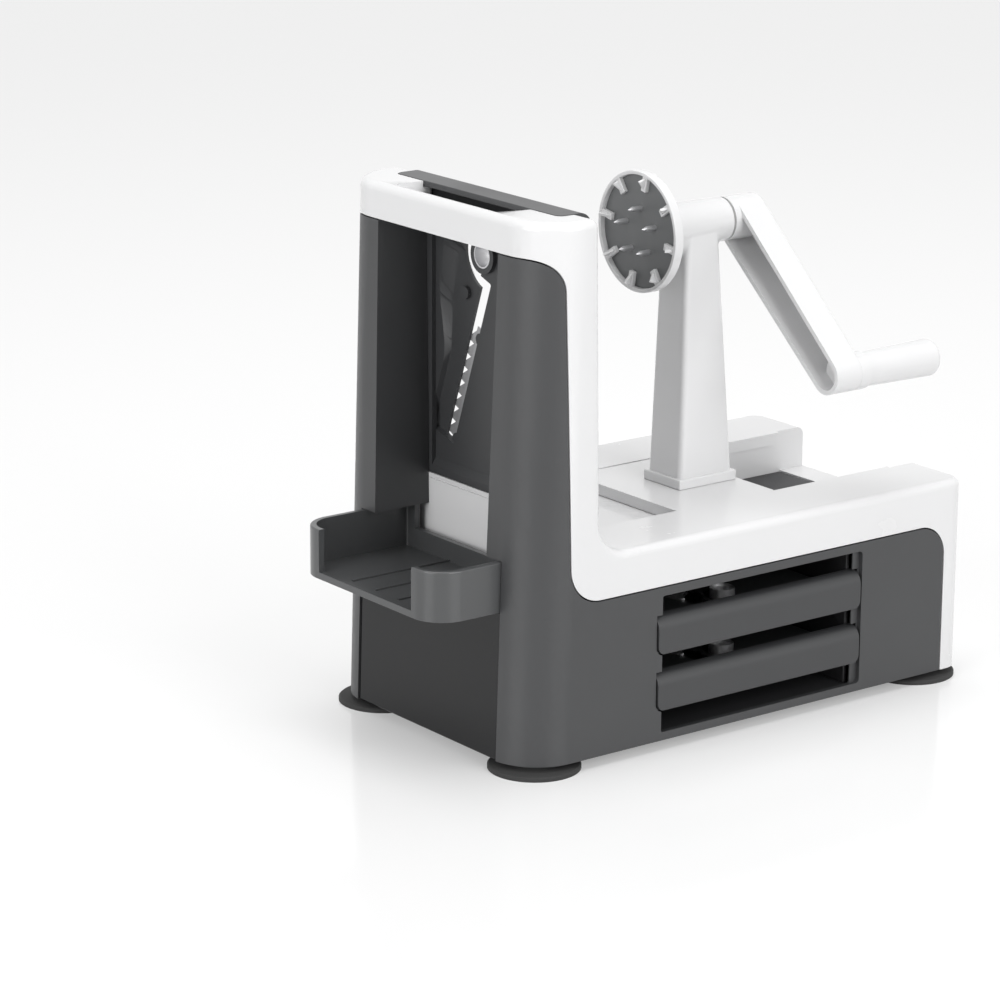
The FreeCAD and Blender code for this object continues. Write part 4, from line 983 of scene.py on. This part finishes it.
def spikes():
    """Pointed steel pins in a ring round the axis."""
    solids = islands("holder_spikes")
    y, z = crank_axis()
    low, high = max(solids, key=lambda pair: pair[1][2])
    radius = (high[1] - low[1]) / 2.0
    circle = (low[2] + high[2]) / 2.0 - z
    profile = [(high[0], radius), (low[0] + SPIKE_POINT, radius),
               (low[0] + SPIKE_NOSE, SPIKE_NOSE_RADIUS), (low[0], 0.0)]
    work = bmesh.new()
    sides = SPIKE_SIDES
    rings = []
    for x, r in profile[:-1]:
        rings.append([work.verts.new((x, r * math.cos(2 * math.pi * i / sides),
                                      circle + r * math.sin(2 * math.pi * i / sides)))
                      for i in range(sides)])
    tip = work.verts.new((profile[-1][0], 0.0, circle))
    work.faces.new(rings[0])
    for first, second in zip(rings, rings[1:]):
        for i in range(sides):
            j = (i + 1) % sides
            work.faces.new((first[i], second[i], second[j], first[j]))
    for i in range(sides):
        work.faces.new((rings[-1][i], tip, rings[-1][(i + 1) % sides]))
    bmesh.ops.recalc_face_normals(work, faces=work.faces)
    seed = bpy.data.meshes.new("spike")
    work.to_mesh(seed)
    work.free()
    values = {"Count": len(solids), "First Angle": 0.0, "Axis": (0.0, y, z)}
    made = grow("spikes", round_axis_tree("spike_ring", False), seed, values, blade_steel())
    finish_piece(made, "holder_spikes", "crank")


class SPIRALIZER_OT_holder(bpy.types.Operator):
    """Dress the holder's disc, rim and spikes"""

    bl_idname = "spiralizer.holder"
    bl_label = "Food holder"

    def execute(self, context):
        # The disc's material paints in the shade of the held vegetable.
        show("holder_disc", "disc", "crank", "holder_plastic", holder_shaded_grey(), rounding=0.3 * MM)
        toothed_rim()
        spikes()
        return {"FINISHED"}


class SPIRALIZER_OT_crank(bpy.types.Operator):
    """Dress the crank arm, the shaft and the turning handle"""

    bl_idname = "spiralizer.crank"
    bl_label = "Crank"

    def execute(self, context):
        steel = "screw_steel", screw_steel()
        white = "white_plastic", shell_white()
        for cad_node, name, body, finish, rounding in (
                ("drive_shaft", "shaft", "crank", steel, 0.2 * MM),
                ("crank_arm", "arm", "crank", white, None),
                ("crank_hub_cap", "hub_cap", "crank", white, 0.2 * MM),
                ("crank_screw", "arm_screw", "crank", steel, 0.2 * MM),
                ("handle_pin", "grip_axle", "crank", steel, 0.2 * MM),
                ("handle_screw", "grip_screw", "crank", steel, 0.15 * MM),
                ("handle_washer", "grip_washer", "crank", steel, 0.15 * MM),
                ("handle_grip", "grip", "handle", white, 0.3 * MM),
                ("handle_end_cap", "grip_cap", "handle", white, 0.15 * MM)):
            show(cad_node, name, body, *finish, rounding=rounding)
        return {"FINISHED"}


STUD_NUT_HEIGHT = 3.0 * MM
STUD_RADIUS = 3.0 * MM
STUD_NUT_SEAM = 0.2 * MM     # between the nut's faces and the places of its edges


def studs():
    """Studs that hold the feet, with a hexagon nut on each."""
    solids = islands("foot_studs")
    low, high = solids[0]
    length = high[2] - low[2]
    places = [Vector(((a.x + b.x) / 2.0, (a.y + b.y) / 2.0, a.z)) for a, b in solids]
    values = {"Stem Radius": STUD_RADIUS, "Length": length,
              "Nut Radius": (high[0] - low[0]) / 2.0,
              "Nut Height": STUD_NUT_HEIGHT - 2.0 * STUD_NUT_SEAM,
              "Nut Middle": length - STUD_NUT_HEIGHT / 2.0 - STUD_NUT_SEAM}
    made = grow("studs", stud_tree(), points_mesh("stud_places", places), values, screw_steel())
    finish_piece(made, "foot_studs", "base")


class SPIRALIZER_OT_feet(bpy.types.Operator):
    """Dress the suction feet, their studs and the screws underneath"""

    bl_idname = "spiralizer.feet"
    bl_label = "Feet and screws"

    def execute(self, context):
        for name in FEET:
            show(name, name + "_cup", "base", "foot_rubber", foot_rubber(), rounding=0.25 * MM)
        studs()
        screws("case_screws", "cover_screws", "base", 2, -1, 0.075)
        return {"FINISHED"}


class SPIRALIZER_PT_panel(bpy.types.Panel):
    """Settings and steps of the spiralizer"""

    bl_idname = "SPIRALIZER_PT_panel"
    bl_label = "Spiralizer"
    bl_space_type = "VIEW_3D"
    bl_region_type = "UI"
    bl_category = "Spiralizer"

    def draw(self, context):
        layout = self.layout
        for group in (context.scene.spiralizer_colours, context.scene.spiralizer_sizes):
            for name in group.bl_rna.properties.keys():
                if name not in ("rna_type", "name"):
                    layout.prop(group, name)
        for step in STEPS:
            layout.operator(step.bl_idname)


STEPS = (SPIRALIZER_OT_stage, SPIRALIZER_OT_shell, SPIRALIZER_OT_tray,
         SPIRALIZER_OT_cartridges, SPIRALIZER_OT_carriage, SPIRALIZER_OT_holder,
         SPIRALIZER_OT_crank, SPIRALIZER_OT_feet)
CLASSES = (SpiralizerColours, SpiralizerSizes) + STEPS + (SPIRALIZER_PT_panel,)


def register():
    for item in CLASSES:
        bpy.utils.register_class(item)
    scene = bpy.types.Scene
    scene.spiralizer_colours = bpy.props.PointerProperty(type=SpiralizerColours)
    scene.spiralizer_sizes = bpy.props.PointerProperty(type=SpiralizerSizes)


def unregister():
    del bpy.types.Scene.spiralizer_sizes
    del bpy.types.Scene.spiralizer_colours
    for item in reversed(CLASSES):
        bpy.utils.unregister_class(item)


def main():
    register()
    bpy.ops.spiralizer.stage()
    bpy.ops.spiralizer.shell()
    bpy.ops.spiralizer.tray()
    bpy.ops.spiralizer.cartridges()
    bpy.ops.spiralizer.carriage()
    bpy.ops.spiralizer.holder()
    bpy.ops.spiralizer.crank()
    bpy.ops.spiralizer.feet()


if __name__ == "__main__":
    main()
